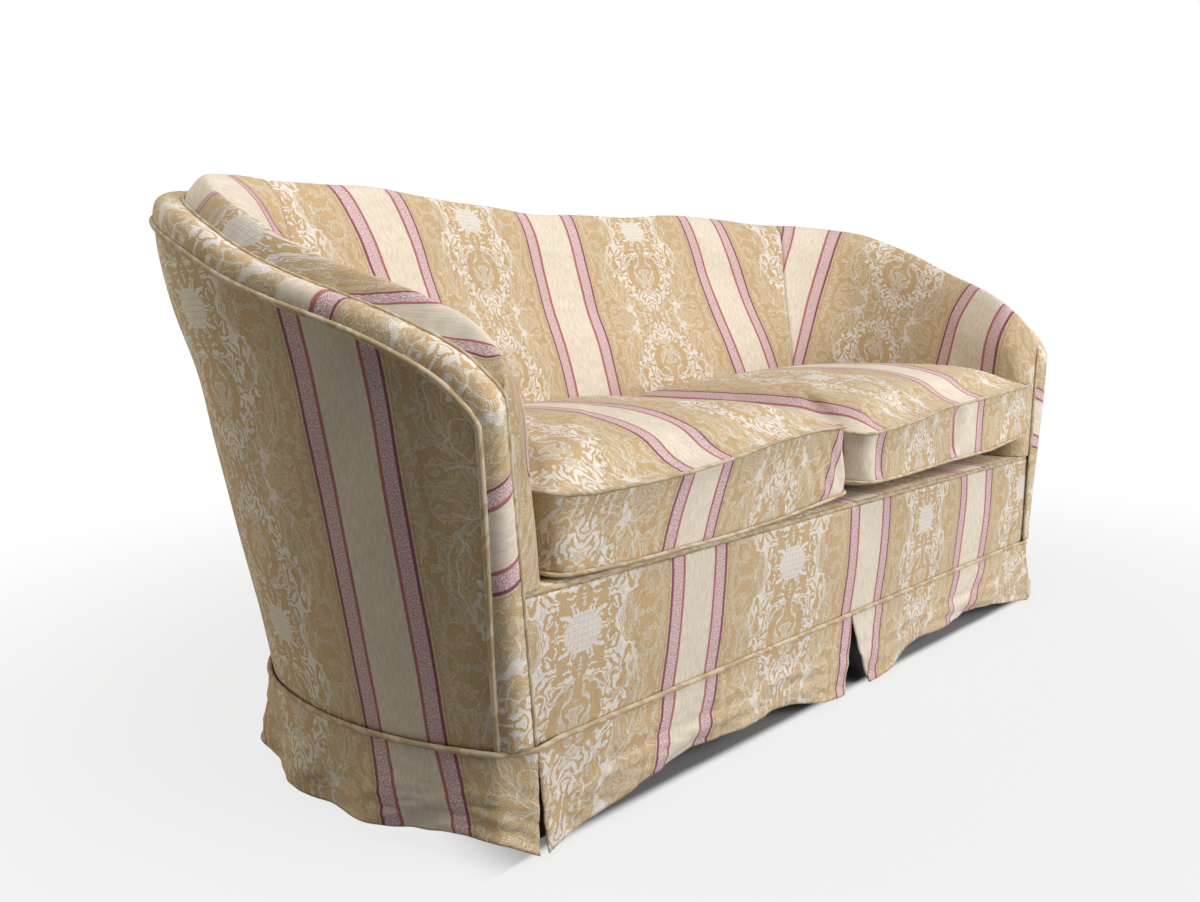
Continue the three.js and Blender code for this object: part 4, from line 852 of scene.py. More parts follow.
for k, y in enumerate(STRAP_Y):
    edges = (y - SEAT_STRAP / 2, y + SEAT_STRAP / 2)
    reach = min(float(np.interp(edge, side_edge[:, 1], -side_edge[:, 0])) for edge in edges)
    x = np.linspace(-reach, reach, 150)[None, :]
    wide = strap_width(y, SEAT_STRAP)
    height = STRAP_MID + crossing(x, STRAP_X, k + 1)
    seat_straps.append(np.stack([x + 0 * wide, wide + 0 * x, height + 0 * wide], -1))
seat_webbing = thicken(joined_grids("webbing_seat", seat_straps, (0, 0, 5)), WEBBING["cut"])
seat_webbing.modifiers[0].offset = 0

GIRTH = (0.52, 0.63)  # the strap that goes across, in shares of the uprights' height


def strap_top(along):
    """Where an upright ends: a little over the lower edge of the back's top rail."""
    return welt_height(along) - TOP_BOARD["below_welt"] - TOP_BOARD["deep"] + TOP_BOARD["lap"]


back_straps = []
upright_along = HALF + (np.arange(7) - 3) * 0.18
strap_inset = RAIL["inset"] + TIMBER + WEBBING["gap"] + WEBBING["thick"] / 2
for k, along in enumerate(upright_along):
    top = float(strap_top(np.array(along)))
    height = np.linspace(BACK_FOOT, top, 70)[None, :]
    wide = strap_width(along, BACK_STRAP)
    girth = BACK_FOOT + (GIRTH[0] + GIRTH[1]) / 2 * (top - BACK_FOOT)
    wave = 0.0005 * np.sign(k % 2 - 0.5) * np.exp(-(((height - girth) / 0.03) ** 2))
    back_straps.append(body_point(wide, strap_inset + wave, height + 0 * wide))
ends = (upright_along[0] - BACK_STRAP / 2, upright_along[-1] + BACK_STRAP / 2)
along = np.linspace(*ends, 200)[None, :]
wide = np.linspace(*GIRTH, 5)[:, None]
wave = -crossing(along, upright_along, 1)
height = BACK_FOOT + (strap_top(along) - BACK_FOOT) * wide
back_straps.append(body_point(along + 0 * wide, strap_inset + wave, height))
back_webbing = thicken(joined_grids("webbing_back", back_straps, (0, -1, 0.5)), WEBBING["cut"])
back_webbing.modifiers[0].offset = 0
print("straps:", len(seat_straps), "in the seat,", len(back_straps), "in the back")

# %% [markdown]
# ### Hessian and dust cover
# Both are level sheets tacked to the boards. Each could be a flat face, but cloth reads as cloth
# only where its map lies square to it, so they are grids too, and the dust cover's grid has lines
# along the edges of each foot, where it is cut out.

# %% Level sheets with square holes
def flat_cloth(name, front, inset, height, holes=(), seen_from=(0, 0, 5)):
    """A level sheet: straight rows across, whose columns are the same x all the way and stop at the
    outline, so that square holes can be left out between them."""
    half = seat_outline(front, inset, height, 1200)
    widest, last = -half[:, 0].min(), half[-1, 1] - 0.0002
    rows, cols = np.linspace(half[0, 1], last, 90), np.linspace(-widest, widest, 150)
    for x, y, size in holes:
        rows = np.concatenate([rows, [y - size, y + size]])
        cols = np.concatenate([cols, [x - size, x + size]])
    rows = np.unique(np.clip(rows, half[0, 1], last).round(6))
    cols = np.unique(cols.round(6))
    reach = np.interp(rows, half[:, 1], -half[:, 0])
    x = np.clip(cols[None, :], -reach[:, None], reach[:, None])
    points = np.stack([x, rows[:, None] + 0 * x, height + 0 * x], -1)
    middle_y, middle_x = (rows[1:] + rows[:-1]) / 2, (cols[1:] + cols[:-1]) / 2
    kept = np.ones((len(rows) - 1, len(cols) - 1), bool)
    for x, y, size in holes:
        kept &= ~((np.abs(middle_y - y) < size)[:, None] & (np.abs(middle_x - x) < size)[None, :])
    ii, jj = cell_corners(len(rows) - 1, len(cols) - 1)
    picked = (ii[kept], jj[kept])
    faces = (picked[0] * len(cols) + picked[1]).reshape(-1, 4)
    marks = points[picked][..., :2]
    piece = mesh_piece(name, points.reshape(-1, 3), faces, marks, seen_from)
    weld(piece)
    corners = points[picked]
    area = np.cross(corners[:, 2] - corners[:, 0], corners[:, 3] - corners[:, 1])[:, 2].sum() / 2
    return piece, (2 * reach.max(), rows[-1] - rows[0]), abs(float(area))


LINING = 0.0008  # thickness of hessian and dust cover
hessian_height = HESSIAN_TOP - HESSIAN_DEPTH / 2
hessian, hessian_size, hessian_area = flat_cloth("hessian_cloth", 0.0188, 0.044, hessian_height)
thicken(hessian, LINING).modifiers[-1].offset = 0
foot_squares = []
for name in sorted(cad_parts):
    if name.startswith("foot_"):
        (x0, y0, _), (x1, y1, _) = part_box(name)
        foot_squares.append(((x0 + x1) / 2, (y0 + y1) / 2, (x1 - x0) / 2 + 0.0006))
dust_height = RAIL["bottom"] - 0.0009
dust, dust_size, dust_area = flat_cloth("dust_cloth", 0.026, 0.010, dust_height, foot_squares, (0, 0, -5))
thicken(dust, LINING).modifiers[-1].offset = 0
CUT_SIZES["hessian_cloth"], CUT_SIZES["dust_cloth"] = (*hessian_size, hessian_area), (*dust_size, dust_area)
print(f"hessian {hessian_area:.3f} m2, dust cover {dust_area:.3f} m2, {len(foot_squares)} feet cut out")

# %% [markdown]
# ## Seat cushions
# A box cushion is a top, a bottom and a strip of boxing between two pipings. The body is built as
# rings round its plan, shrinking towards the middle of top and underside. Its corners are rounded
# by averaging the plan's outline over a length, which also softens the way the pipings turn.

# %% A cushion's plan and its rings
CUSHION = {"clearance": 0.010, "gap": 0.014, "front": 0.016, "tall": 0.098, "belly": 0.010}
CUSHION |= {"crown": 0.038, "bulge": 0.005, "corner": 0.030, "piping": 0.0026}
LIE = {"left": (0.0, 0.006, -0.004), "right": (0.024, 0.016, 0.040)}  # forward, inner and outer lift
REST = DECK["height"] + SEAM
UNDER = [(0, 0), (0.35, 0), (0.7, 0.25), (0.9, 0.65), (1, 1)]
ZIP = {"length": 0.38, "tall": 0.012, "middle": 0.30, "rise": 0.049}


def cushion_plan(inside, side, count=240):
    """The plan's outline: straight in front and at the sofa's middle, else a clearance from the
    padding; every point is the mean of the outline over a length about it."""
    forward = LIE[side][0]
    front = CUSHION["front"] + inside - forward + SHIFT
    along = np.linspace(PAD["roll"], HALF, 90)
    seat = lerp(PAD["arm"], PAD["back"], smooth(along / PAD["thickening"])) + CUSHION["clearance"] + inside
    line = body_point(along, seat, DECK["height"])[:, :2]
    share = smooth((line[:, 1] - SHIFT - PLAN["widest_back"] / 2) / PLAN["widest_back"])
    middle = -CUSHION["gap"] / 2 - inside
    line = np.stack([np.minimum(line[:, 0], middle), line[:, 1] - forward * share], 1)
    line[-1, 0] = middle
    loop = np.concatenate([[[middle, front], [line[0, 0], front]], line, [[middle, front]]])
    length = np.concatenate([[0], np.cumsum(np.hypot(*np.diff(loop, axis=0).T))])
    total = length[-1]
    samples = np.linspace(-CUSHION["corner"], CUSHION["corner"], 31)
    place = (np.arange(count)[:, None] * total / count + samples) % total
    return np.stack([np.interp(place, length, loop[:, k]).mean(1) for k in (0, 1)], 1)


def outwards(plan, centre):
    """Unit directions away from the plan's centre."""
    return (plan - centre) / np.linalg.norm(plan - centre, axis=1, keepdims=True)


def low_rim(x, side):
    """Height of the lower piping: the deck, the belly below it, and the lift from inner to outer end."""
    inner, outer = LIE[side][1:]
    reach = smooth(-x / (PLAN["half_width"] - PAD["back"]))
    return REST + CUSHION["belly"] + lerp(inner, outer, reach)


# Heights of the two seams in front, by the distance from the sofa's middle: used cushions slump.
RIMS = {("left", "top"): [(0, 0.433), (0.096, 0.4365), (0.195, 0.4303), (0.295, 0.4178), (0.382, 0.4099)]}
RIMS["left", "top"] += [(0.477, 0.4074), (0.543, 0.4071), (0.607, 0.4129), (0.66, 0.415)]
RIMS["left", "bottom"] = [(0, 0.331), (0.069, 0.3257), (0.193, 0.3162), (0.295, 0.3125)]
RIMS["left", "bottom"] += [(0.5, 0.3125), (0.607, 0.3182)]
RIMS["right", "top"] = [(0, 0.4195), (0.04, 0.422), (0.159, 0.4303), (0.245, 0.4434)]
RIMS["right", "top"] += [(0.418, 0.4499), (0.628, 0.4629)]
RIMS["right", "bottom"] = [(0, 0.3434), (0.115, 0.3431), (0.252, 0.3481), (0.428, 0.3496), (0.63, 0.3677)]


def rim(plan, side, level):
    """Height of a seam all round: as seen in front, and what the cushion's lie gives behind."""
    lying = low_rim(plan[:, 0], side) + (CUSHION["tall"] if level == "top" else 0)
    seen = np.interp(-plan[:, 0], *np.array(RIMS[side, level]).T)
    return lerp(lying, seen, 1 - smooth((plan[:, 1] - plan[:, 1].min()) / 0.16))


def cushion_rings(side):
    """Rings of points from the underside's middle to the top's, and how far each may give. Where the
    zip lies the boxing is held, so that it doesn't swell over it."""
    plan = cushion_plan(0, side)
    centre = plan.mean(0)
    out = outwards(plan, centre)
    edge, upper = rim(plan, side, "bottom"), rim(plan, side, "top")
    middle = float(low_rim(centre[0], side)) + CUSHION["tall"]
    sizes, heights, swells, kinds = [], [], [], []
    for size in (1 - np.linspace(1, 0, 16) ** 1.4) * 0.985 + 0.001:
        sizes.append(size)
        heights.append(lerp(REST, edge, float(through_table(UNDER, size))))
        swells.append(0.0)
        kinds.append(0)
    for rise in np.linspace(0, 1, 15):
        sizes.append(1.0)
        heights.append(lerp(edge, upper, rise))
        swells.append(CUSHION["bulge"] * np.sin(np.pi * rise))
        kinds.append(1)
    for size in ((1 - np.linspace(0, 1, 34) ** 1.25) * 0.985 + 0.001)[1:]:
        sizes.append(size)
        heights.append(lerp(middle, upper, size) + CUSHION["crown"] * (1 - size**2.4))
        swells.append(0.0)
        kinds.append(2)
    sizes, swells, kinds = np.array(sizes), np.array(swells), np.array(kinds)
    give = np.where(kinds == 2, 0.026 * smooth((1 - sizes) / 0.25), 0.0)
    give = np.where(kinds == 1, 0.007 * np.clip(swells / CUSHION["bulge"], 0, 1), give)
    beside = np.maximum(np.abs(plan[:, 0] + ZIP["middle"]) - ZIP["length"] / 2, 0)
    at_zip = (plan[:, 1] > centre[1]) * (1 - smooth((beside - 0.01) / 0.05))
    give = np.where((kinds == 1)[:, None], give[:, None] * (1 - at_zip), give[:, None])
    flat = centre + (plan - centre)[None] * sizes[:, None, None] + out[None] * swells[:, None, None]
    points = np.concatenate([flat, np.stack(heights)[..., None]], -1)
    return points, kinds, give, plan, centre


# Where the rose stripes lie along x at the top seam in front, and across the cloth.
CUSHION_STRIPES = {"left": [(-2.75, -2.42), (-0.70, -0.3735), (-0.382, -0.0465), (-0.304, 0.0465)]}
CUSHION_STRIPES["left"] += [(-0.030, 0.3735), (0.05, 0.4665), (1.05, 1.4665)]
CUSHION_STRIPES["right"] = [(-1.10, -1.52), (0.055, -0.3735), (0.300, -0.0465), (0.395, 0.0465)]
CUSHION_STRIPES["right"] += [(0.72, 0.3735), (2.72, 2.3735)]
BOXING_LEAN = {"left": 0.46, "right": 0.10}  # of the stripes on the boxing in front, per unit of drop


def cushion_cloth(points, kinds, plan, sign, side):
    """On top the stripes run from front to back: across the cloth is x, along it is y. The boxing is a
    strip of its own, so its cloth is the way round the plan and the drop from the top seam. The way
    starts at the inner front corner and is negative on the inner side."""
    round_plan = run_length(np.concatenate([plan, plan[:1]])[:, None], 0)[:, 0]
    way = round_plan[:-1]
    inner = (np.arange(len(plan)) > len(plan) / 2) & (plan[:, 0] > plan[:, 0].max() - 0.004)
    way = np.where(inner, way - round_plan[-1], way)
    boxing = (kinds == 1)[:, None]
    top_edge = points[kinds == 1][-1]
    drop = top_edge[None, :, 2] - points[..., 2]
    strip = (plan[0, 0] - way)[None, :]
    x = np.where(boxing, strip, points[..., 0]) * sign + boxing * drop * BOXING_LEAN[side]
    u = np.interp(x, *np.array(CUSHION_STRIPES[side]).T)
    v = np.where(boxing, plan[:, 1].min() - SHIFT - drop, points[..., 1] - SHIFT)
    v = np.where((kinds == 0)[:, None], v + 0.5, v)
    return np.stack([u, v], -1)


cushions, pipings = {}, {}
for side, sign in SIDES.items():
    points, kinds, give, plan, centre = cushion_rings(side)
    marks = cushion_cloth(points, kinds, plan, sign, side)
    marks = np.concatenate([marks, marks[:, :1]], 1)
    rings, marks = capped(points, marks)
    cushions[side] = grid_piece(f"cushion_{side}", on_side(rings, sign), marks, None, around=True)
    give = np.concatenate([give[:1], give, give[-1:]])
    carried = cushions[side].data.attributes.new("give", "FLOAT", "POINT").data
    carried.foreach_set("value", np.ascontiguousarray(give).ravel())
    weld(cushions[side])
    out = outwards(plan, centre)
    for level in ("bottom", "top"):
        ring = plan + out * (CUSHION["piping"] + SEAM)
        line = on_side(np.concatenate([ring, rim(plan, side, level)[:, None]], 1), sign)
        name = f"cushion_piping_{level}_{side}"
        pipings[name] = cord_piece(f"piping_{level}_{side}", line, CUSHION["piping"], 10, closed=True)
    print(f"cushion {side}: {len(cushions[side].data.polygons)} faces")

# %% [markdown]
# ### Zips
# Each cover closes with a zip in the boxing behind. The tape is a narrow strip that lies on the
# boxing, and the teeth are small blocks set in two rows along its middle, each tooth between two of
# the other row.

# %% Zips at the back of the cushions
def zip_line(side, count):
    """Points along the boxing behind, at the zip's height, and the directions out of it. The boxing
    swells by its bulge times the sine of pi times the share of its height."""
    plan = cushion_plan(0, side)
    centre = plan.mean(0)
    out = outwards(plan, centre)
    beside = np.abs(plan[:, 0] + ZIP["middle"])
    behind = np.flatnonzero((plan[:, 1] > centre[1]) & (beside < ZIP["length"] * 0.7))
    behind = behind[np.argsort(plan[behind, 0])]
    line, out = plan[behind], out[behind]
    walked = run_length(line[:, None], 0)[:, 0]
    middle = np.interp(-ZIP["middle"], line[:, 0], walked)
    at = middle + np.linspace(-0.5, 0.5, count) * ZIP["length"]
    line = np.stack([np.interp(at, walked, line[:, k]) for k in (0, 1)], 1)
    out = np.stack([np.interp(at, walked, out[:, k]) for k in (0, 1)], 1)
    height = float(low_rim(centre[0], side)) + ZIP["rise"]
    share = (height - low_rim(line[:, 0], side)) / CUSHION["tall"]
    line = line + out * (CUSHION["bulge"] * np.sin(np.pi * share))[:, None]
    flat = np.concatenate([line, np.full((count, 1), height)], 1)
    return flat, np.concatenate([out, np.zeros((count, 1))], 1)


zip_tapes, zip_teeth = {}, {}
for side, sign in SIDES.items():
    mirror = np.array([sign, 1, 1])
    line, out = zip_line(side, 120)
    across = np.linspace(-0.5, 0.5, 5)[:, None, None] * ZIP["tall"] * np.array([0, 0, 1])
    tape_points = line[None] + out[None] * 0.0016 + across
    tape_marks = np.stack([line[None, :, 0] + across[..., 2], across[..., 2] + 0 * line[None, :, 0]], -1)
    tape = grid_piece(f"zip_tape_{side}", tape_points * mirror, tape_marks, (0, 9, 0.4))
    zip_tapes[side] = thicken(tape, 0.0010)
    line, out = zip_line(side, 240)
    onward = np.cross(out, [0, 0, 1.0])
    sizes = np.array([0.0011, 0.0009, 0.0032])
    corners = (np.array(np.meshgrid([0, 1], [0, 1], [0, 1], indexing="ij")).reshape(3, -1).T - 0.5) * sizes
    frames = np.stack([onward, out, 0 * out + np.array([0, 0, 1.0])], 1)
    shift = np.where(np.arange(len(line)) % 2, 0.0009, -0.0009)[:, None] * np.array([0, 0, 1.0])
    teeth = (line + out * 0.00195 + shift)[:, None] + corners @ frames
    box_faces = np.array([[0, 1, 3, 2], [4, 6, 7, 5], [0, 4, 5, 1], [2, 3, 7, 6], [0, 2, 6, 4], [1, 5, 7, 3]])
    faces = (box_faces[None] + 8 * np.arange(len(line))[:, None, None]).reshape(-1, 4)
    marks = (teeth.reshape(-1, 3) * mirror)[faces][..., [0, 2]]
    zip_teeth[side] = mesh_piece(f"zip_teeth_{side}", teeth.reshape(-1, 3) * mirror, faces, marks)
    print(f"zip {side}: {len(line)} teeth at a height of {line[0, 2]:.4f}")

# %% [markdown]
# ### Filling the cushions
# The covers are a little large for their cores, which is where the crown and the puckers along the
# seams come from. Blender's cloth does that: the seams and the underside are held, the cloth has a
# hundredth to spare, and air pressure stands for the foam. Every point may move only so far, so that
# the boxing doesn't bulge into the arms. Waves in code alone would look too even here.

# %% Swell the covers by cloth simulation
def places_of(piece):
    """The points of a piece's mesh, one row each."""
    places = np.empty(len(piece.data.vertices) * 3)
    piece.data.vertices.foreach_get("co", places)
    return places.reshape(-1, 3)


def give_of(piece):
    """How far each point may move, as the grid noted it."""
    give = np.empty(len(piece.data.vertices))
    piece.data.attributes["give"].data.foreach_get("value", give)
    return give


def filled(piece, pressure=4.0, frames=20, spare=0.012):
    """Blows the piece up and keeps each point's way, made shorter the nearer it comes to the give:
    way over the root of one plus the square of way by give."""
    give, before = give_of(piece), places_of(piece)
    held = piece.vertex_groups.new(name="held")
    held.add(np.flatnonzero(give <= 0).tolist(), 1.0, "REPLACE")
    soft = piece.modifiers.new("filling", "CLOTH")
    soft.settings.vertex_group_mass = "held"
    soft.settings.quality = 5
    soft.settings.use_pressure = True
    soft.settings.uniform_pressure_force = pressure
    soft.settings.shrink_min = -spare
    soft.settings.effector_weights.gravity = 0
    soft.point_cache.frame_start, soft.point_cache.frame_end = 1, frames
    for frame_number in range(1, frames + 1):
        bpy.context.scene.frame_set(frame_number)
    after = places_of(piece.evaluated_get(bpy.context.evaluated_depsgraph_get()))
    piece.modifiers.clear()
    piece.vertex_groups.clear()
    bpy.context.scene.frame_set(1)
    way = after - before
    far = np.linalg.norm(way, axis=1)
    free = give > 0
    kept = np.where(free, 1 / np.sqrt(1 + (far / np.maximum(give, 1e-6)) ** 2), 0)
    return before + way * kept[:, None], float(far[free].max())


def creased(places, side):
    """Dents that years of sitting left: a fold in the right cushion's boxing, and tucks at the left
    cushion's inner end, where its cover is too long."""
    x, y, z = places.T
    near = np.exp(-np.maximum(y - y.min(), 0) / 0.05)
    if side == "right":
        fold = -0.012 * np.exp(-(((x - 0.300 - 0.25 * (z - 0.39)) / 0.013) ** 2))
        fold += 0.005 * np.exp(-(((x - 0.262) / 0.016) ** 2)) + 0.005 * np.exp(-(((x - 0.340) / 0.018) ** 2))
        fold -= 0.005 * np.exp(-(((x - 0.045) / 0.014) ** 2))
    else:
        reach = smooth((x + 0.30) / 0.16)
        fold = 0.0028 * np.sin(2 * np.pi * (x + 0.35 * (z - 0.37)) / 0.034) * reach
    return np.stack([x, y - fold * near, z], 1)


for side, piece in cushions.items():
    give = give_of(piece)
    places, farthest = filled(piece)
    print(f"cushion {side}: cloth moved up to {farthest * 1000:.0f} mm before the limit")
    loose = (give > 0)[:, None]
    places = np.where(loose, lerp(places, creased(places, side), clamp01(give / 0.004)[:, None]), places)
    piece.data.vertices.foreach_set("co", places.ravel())
    piece.data.update()
    finer = piece.modifiers.new("finer", "SUBSURF")
    finer.levels = finer.render_levels = 1

# %% [markdown]
# ## The cloth
# The cloth is a woven damask with stripes: a cream stripe between two rose ones, then a wide golden
# field whose scrolls are the same on both sides of its middle. A drawn or photographed image would
# be the short way, but here the loom's own rule is followed: the pattern is worked out from the
# place on the cloth, folded over at the middle of each field and at every second motif, so that one
# quarter of a motif gives it all. Its nodes are written as arithmetic, which a helper turns into
# Math nodes.

# %% Nodes, their inputs and a new material
def plug(tree, slot, value):
    """Joins a socket or a Field to an input, or sets the input to a plain value."""
    value = value.socket if isinstance(value, Field) else value
    if isinstance(value, bpy.types.NodeSocket):
        tree.links.new(value, slot)
    else:
        slot.default_value = value


def add_node(tree, kind, inputs=(), **settings):
    """A shader node with its settings; every input takes a value, a socket or a Field."""
    node = tree.nodes.new("ShaderNode" + kind)
    for name, value in settings.items():
        setattr(node, name, value)
    for key, value in dict(inputs).items():
        plug(tree, node.inputs[key], value)
    return node


def soft_step(tree, value, start, end, low=0.0, high=1.0):
    """Low up to the start, high from the end on, and a step with level ends between them."""
    inputs = {"Value": value, "From Min": start, "From Max": end, "To Min": low, "To Max": high}
    return add_node(tree, "MapRange", inputs, interpolation_type="SMOOTHSTEP").outputs["Result"]


def material(name):
    """A new node material and its Principled BSDF."""
    made = bpy.data.materials.new(name)
    made.use_nodes = True
    return made, made.node_tree.nodes["Principled BSDF"]


# %% Arithmetic on values that vary over a surface
class Field:
    """A value that varies over the cloth. Arithmetic with it adds Math nodes to its group."""

    def __init__(self, tree, socket):
        self.tree, self.socket = tree, socket

    def math(self, operation, *others):
        """A Math node's result for this value and the others."""
        inputs = dict(enumerate((self, *others)))
        return Field(self.tree, add_node(self.tree, "Math", inputs, operation=operation).outputs[0])

    def __add__(self, other):
        return self.math("ADD", other)

    def __sub__(self, other):
        return self.math("SUBTRACT", other)

    def __mul__(self, other):
        return self.math("MULTIPLY", other)

    def __truediv__(self, other):
        return self.math("DIVIDE", other)

    def less(self, edge, soft):
        """1 where the value is under the edge, 0 above it, with a soft step between."""
        return Field(self.tree, soft_step(self.tree, self, edge - soft / 2, edge + soft / 2, 1, 0))

    def line(self, place, half, soft):
        """1 on a line where the value is near the place, 0 away from it."""
        return (self - place).math("ABSOLUTE").less(half, soft)

    def least(self, other):
        return self.math("MINIMUM", other)

    def most(self, other):
        return self.math("MAXIMUM", other)

    def sine(self):
        return self.math("SINE")

    def off(self):
        """What is left of 1."""
        return self * -1 + 1


def distance(x, y):
    """Square root of the sum of both squares."""
    return (x * x).math("ADD", y * y).math("SQRT")


def oval(x, y, cx, cy, rx, ry):
    """Distance from an oval's middle in shares of its radii: 1 on its edge."""
    return distance((x - cx) / rx, (y - cy) / ry)


def noise_node(tree, x, y, scale, detail, layer):
    """A Noise Texture over the plane of x and y; another layer gives another noise."""
    place = add_node(tree, "CombineXYZ", {0: x, 1: y, 2: layer})
    return add_node(tree, "TexNoise", {"Vector": place.outputs[0], "Scale": scale, "Detail": detail})


def noise(tree, x, y, scale, detail=1.0, layer=0.0):
    """Smooth noise from about 0.2 to 0.8."""
    return Field(tree, noise_node(tree, x, y, scale, detail, layer).outputs["Fac"])


def three_noises(tree, node):
    """A Noise Texture's colour holds three noises that have nothing to do with one another."""
    parts = add_node(tree, "SeparateColor", {0: node.outputs["Color"]})
    return [Field(tree, socket) for socket in parts.outputs]


# %% [markdown]
# ### Dyes
# Colours are named once, as they read on a screen in even light. Shaders take light in linear
# amounts, so each is turned into one as it is used.

# %% Colours by name
DYES = {"field_low": (204, 188, 156), "field_high": (216, 201, 172), "gold": (208, 179, 134)}
DYES |= {"fine_line": (236, 227, 206), "white": (240, 235, 227), "border": (190, 158, 104)}
DYES |= {"cream": (237, 229, 214), "cream_grain": (219, 208, 186), "dust": (176, 156, 128)}
DYES |= {"rose_pale": (236, 220, 219), "rose_deep": (196, 152, 160)}
DYES |= {"rose_inner_edge": (176, 108, 108), "rose_outer_edge": (140, 76, 96)}
DYES |= {"piping_pale": (218, 203, 176), "piping_deep": (194, 172, 136)}
# The piping's gap tone is painted shade for the grooves between its threads.
DYES |= {"piping_dust": (192, 168, 122), "piping_gap": (190, 166, 122)}
DYES |= {"planed_early": (206, 168, 118), "planed_late": (172, 124, 74)}
DYES |= {"stained_early": (74, 42, 30), "stained_late": (44, 24, 18)}
DYES |= {"jute_pale": (178, 146, 96), "jute_deep": (124, 94, 56)}
DYES |= {"hessian_pale": (186, 156, 108), "hessian_deep": (130, 102, 64)}
DYES |= {"lining_pale": (42, 40, 40), "lining_deep": (20, 19, 19)}
DYES |= {"tape_pale": (214, 196, 158), "tape_deep": (176, 156, 116)}
DYES |= {"brass_bright": (196, 158, 88), "brass_worn": (150, 112, 58)}


def dye(name):
    """A named colour from the screen's 0 to 255 to the linear one that shaders take."""
    screen = np.array(DYES[name]) / 255
    linear = np.where(screen <= 0.04045, screen / 12.92, ((screen + 0.055) / 1.055) ** 2.4)
    return (*linear.tolist(), 1.0)


def dyed(tree, share, low, high):
    """Low colour where the share is 0 and high where it is 1. Each is a dye's name or a socket."""
    low, high = (dye(tone) if isinstance(tone, str) else tone for tone in (low, high))
    return add_node(tree, "Mix", {0: share, 6: low, 7: high}, data_type="RGBA").outputs[2]


print("dyes:", len(DYES))

# %% [markdown]
# ### Node groups
# A group is a recipe that many materials can share. Each one here is given a place, on the cloth or
# in the wood, and gives back a colour, a height and a roughness.

# %% Groups that take a place
FINISH_PARTS = [("Color", "NodeSocketColor"), ("Height", "NodeSocketFloat"), ("Roughness", "NodeSocketFloat")]


def new_group(name, more_inputs=(), outputs=FINISH_PARTS):
    """A shader node group with named sockets, its entry and its exit."""
    tree = bpy.data.node_groups.new(name, "ShaderNodeTree")
    for label, kind, value in (("Place", "NodeSocketVector", None), *more_inputs):
        socket = tree.interface.new_socket(label, in_out="INPUT", socket_type=kind)
        if value is not None:
            socket.default_value = value
    for label, kind in outputs:
        tree.interface.new_socket(label, in_out="OUTPUT", socket_type=kind)
    return tree, tree.nodes.new("NodeGroupInput"), tree.nodes.new("NodeGroupOutput")


def place_parts(tree, entry):
    """The three parts of the place that a group is given."""
    parts = add_node(tree, "SeparateXYZ", {0: entry.outputs["Place"]})
    return [Field(tree, socket) for socket in parts.outputs]


def leave_with(tree, leave, **results):
    """Joins a group's results to its outputs."""
    for label, value in results.items():
        plug(tree, leave.inputs[label], value)


# %% Threads: the fine weave that every cloth here has
def make_threads():
    """Warp and weft as two sets of waves at the thread's pitch, uneven by a little noise."""
    outputs = [("Height", "NodeSocketFloat"), ("Slub", "NodeSocketFloat")]
    tree, entry, leave = new_group("threads", [("Pitch", "NodeSocketFloat", 0.0009)], outputs)
    across, along = place_parts(tree, entry)[:2]
    pitch = Field(tree, entry.outputs["Pitch"])
    warp = (across / pitch * np.pi).sine().math("ABSOLUTE")
    weft = (along / pitch * np.pi).sine().math("ABSOLUTE")
    slub = noise(tree, across * 3, along, 420.0, 2.0, 4.0)
    leave_with(tree, leave, Height=warp * weft + slub * 0.5, Slub=slub)
    return tree


threads = make_threads()
print("threads group:", len(threads.nodes), "nodes")

# %% [markdown]
# ### The pattern itself
# A repeat is 0.42 m across: the pair of rose stripes with cream between is 0.12 m, the field 0.30 m.
# Up the cloth the medallions stand 0.2 m apart, and every second one hangs upside down. In the
# folded quarter the medallion's middle is at (0, 0.1), a spindle is at height 0 and a little basket
# of trellis at 0.2.

# %% Leaves of the damask
RISE = 0.2

# Every leaf is (middle x, middle y, radius, facing, spread, width, teeth, depth of a tooth): an arc
# about a middle, which looks in the facing direction and tapers over the spread. Millimetres and
# degrees, in the folded quarter of the pattern.
INNER_LEAVES = [
    (-9, 100, 43, 0, 62, 8.5, 11, 1.5),
    (10, 73, 7.5, 320, 140, 2.2, 0, 0),
    (8, 106, 9.5, 50, 120, 4.4, 6, 0.7),
    (20, 92, 9, 150, 60, 3.2, 9, 0.6),
    (-17, 131, 21, 8, 48, 4.6, 7, 0.8),
    (14, 128, 9, 190, 80, 2.6, 0, 0),
    (27, 62, 6, 60, 150, 2.2, 0, 0),
    (45, 184, 9, 200, 150, 2.9, 8, 0.6),
    (60, 160, 26, 172, 42, 4.8, 12, 1.2),
    (-14, 162, 22, 350, 55, 5.0, 12, 1.2),
    (22, 150, 12, 80, 75, 3.8, 10, 0.9),
    (30, 170, 7, 250, 110, 2.4, 0, 0),
    (-16, 12, 22, 345, 40, 3.6, 8, 0.7),
    (22, 6, 9, 120, 110, 2.4, 9, 0.6),
    (46, 12, 13, 215, 80, 3.4, 9, 0.9),
    (34, 30, 8, 20, 120, 2.2, 0, 0),
]
GARLAND_LEAVES = [
    (0, 100, 72, 38, 22, 7.0, 13, 1.7),
    (0, 100, 72, 322, 22, 7.0, 13, 1.7),
    (112, 166, 22, 140, 105, 10.0, 9, 1.9),
    (114, 164, 9, 320, 120, 4.4, 6, 0.8),
    (90, 196, 13, 300, 75, 5.0, 9, 1.0),
    (150, 120, 27, 196, 62, 5.6, 9, 1.3),
    (150, 62, 24, 160, 66, 5.4, 9, 1.3),
    (128, 90, 9, 20, 140, 3.4, 8, 0.7),
    (106, 22, 20, 60, 90, 6.2, 9, 1.4),
    (108, 20, 8, 250, 130, 3.2, 0, 0),
    (72, 26, 15, 205, 70, 4.4, 9, 1.0),
    (140, 8, 15, 150, 80, 4.4, 9, 1.0),
]
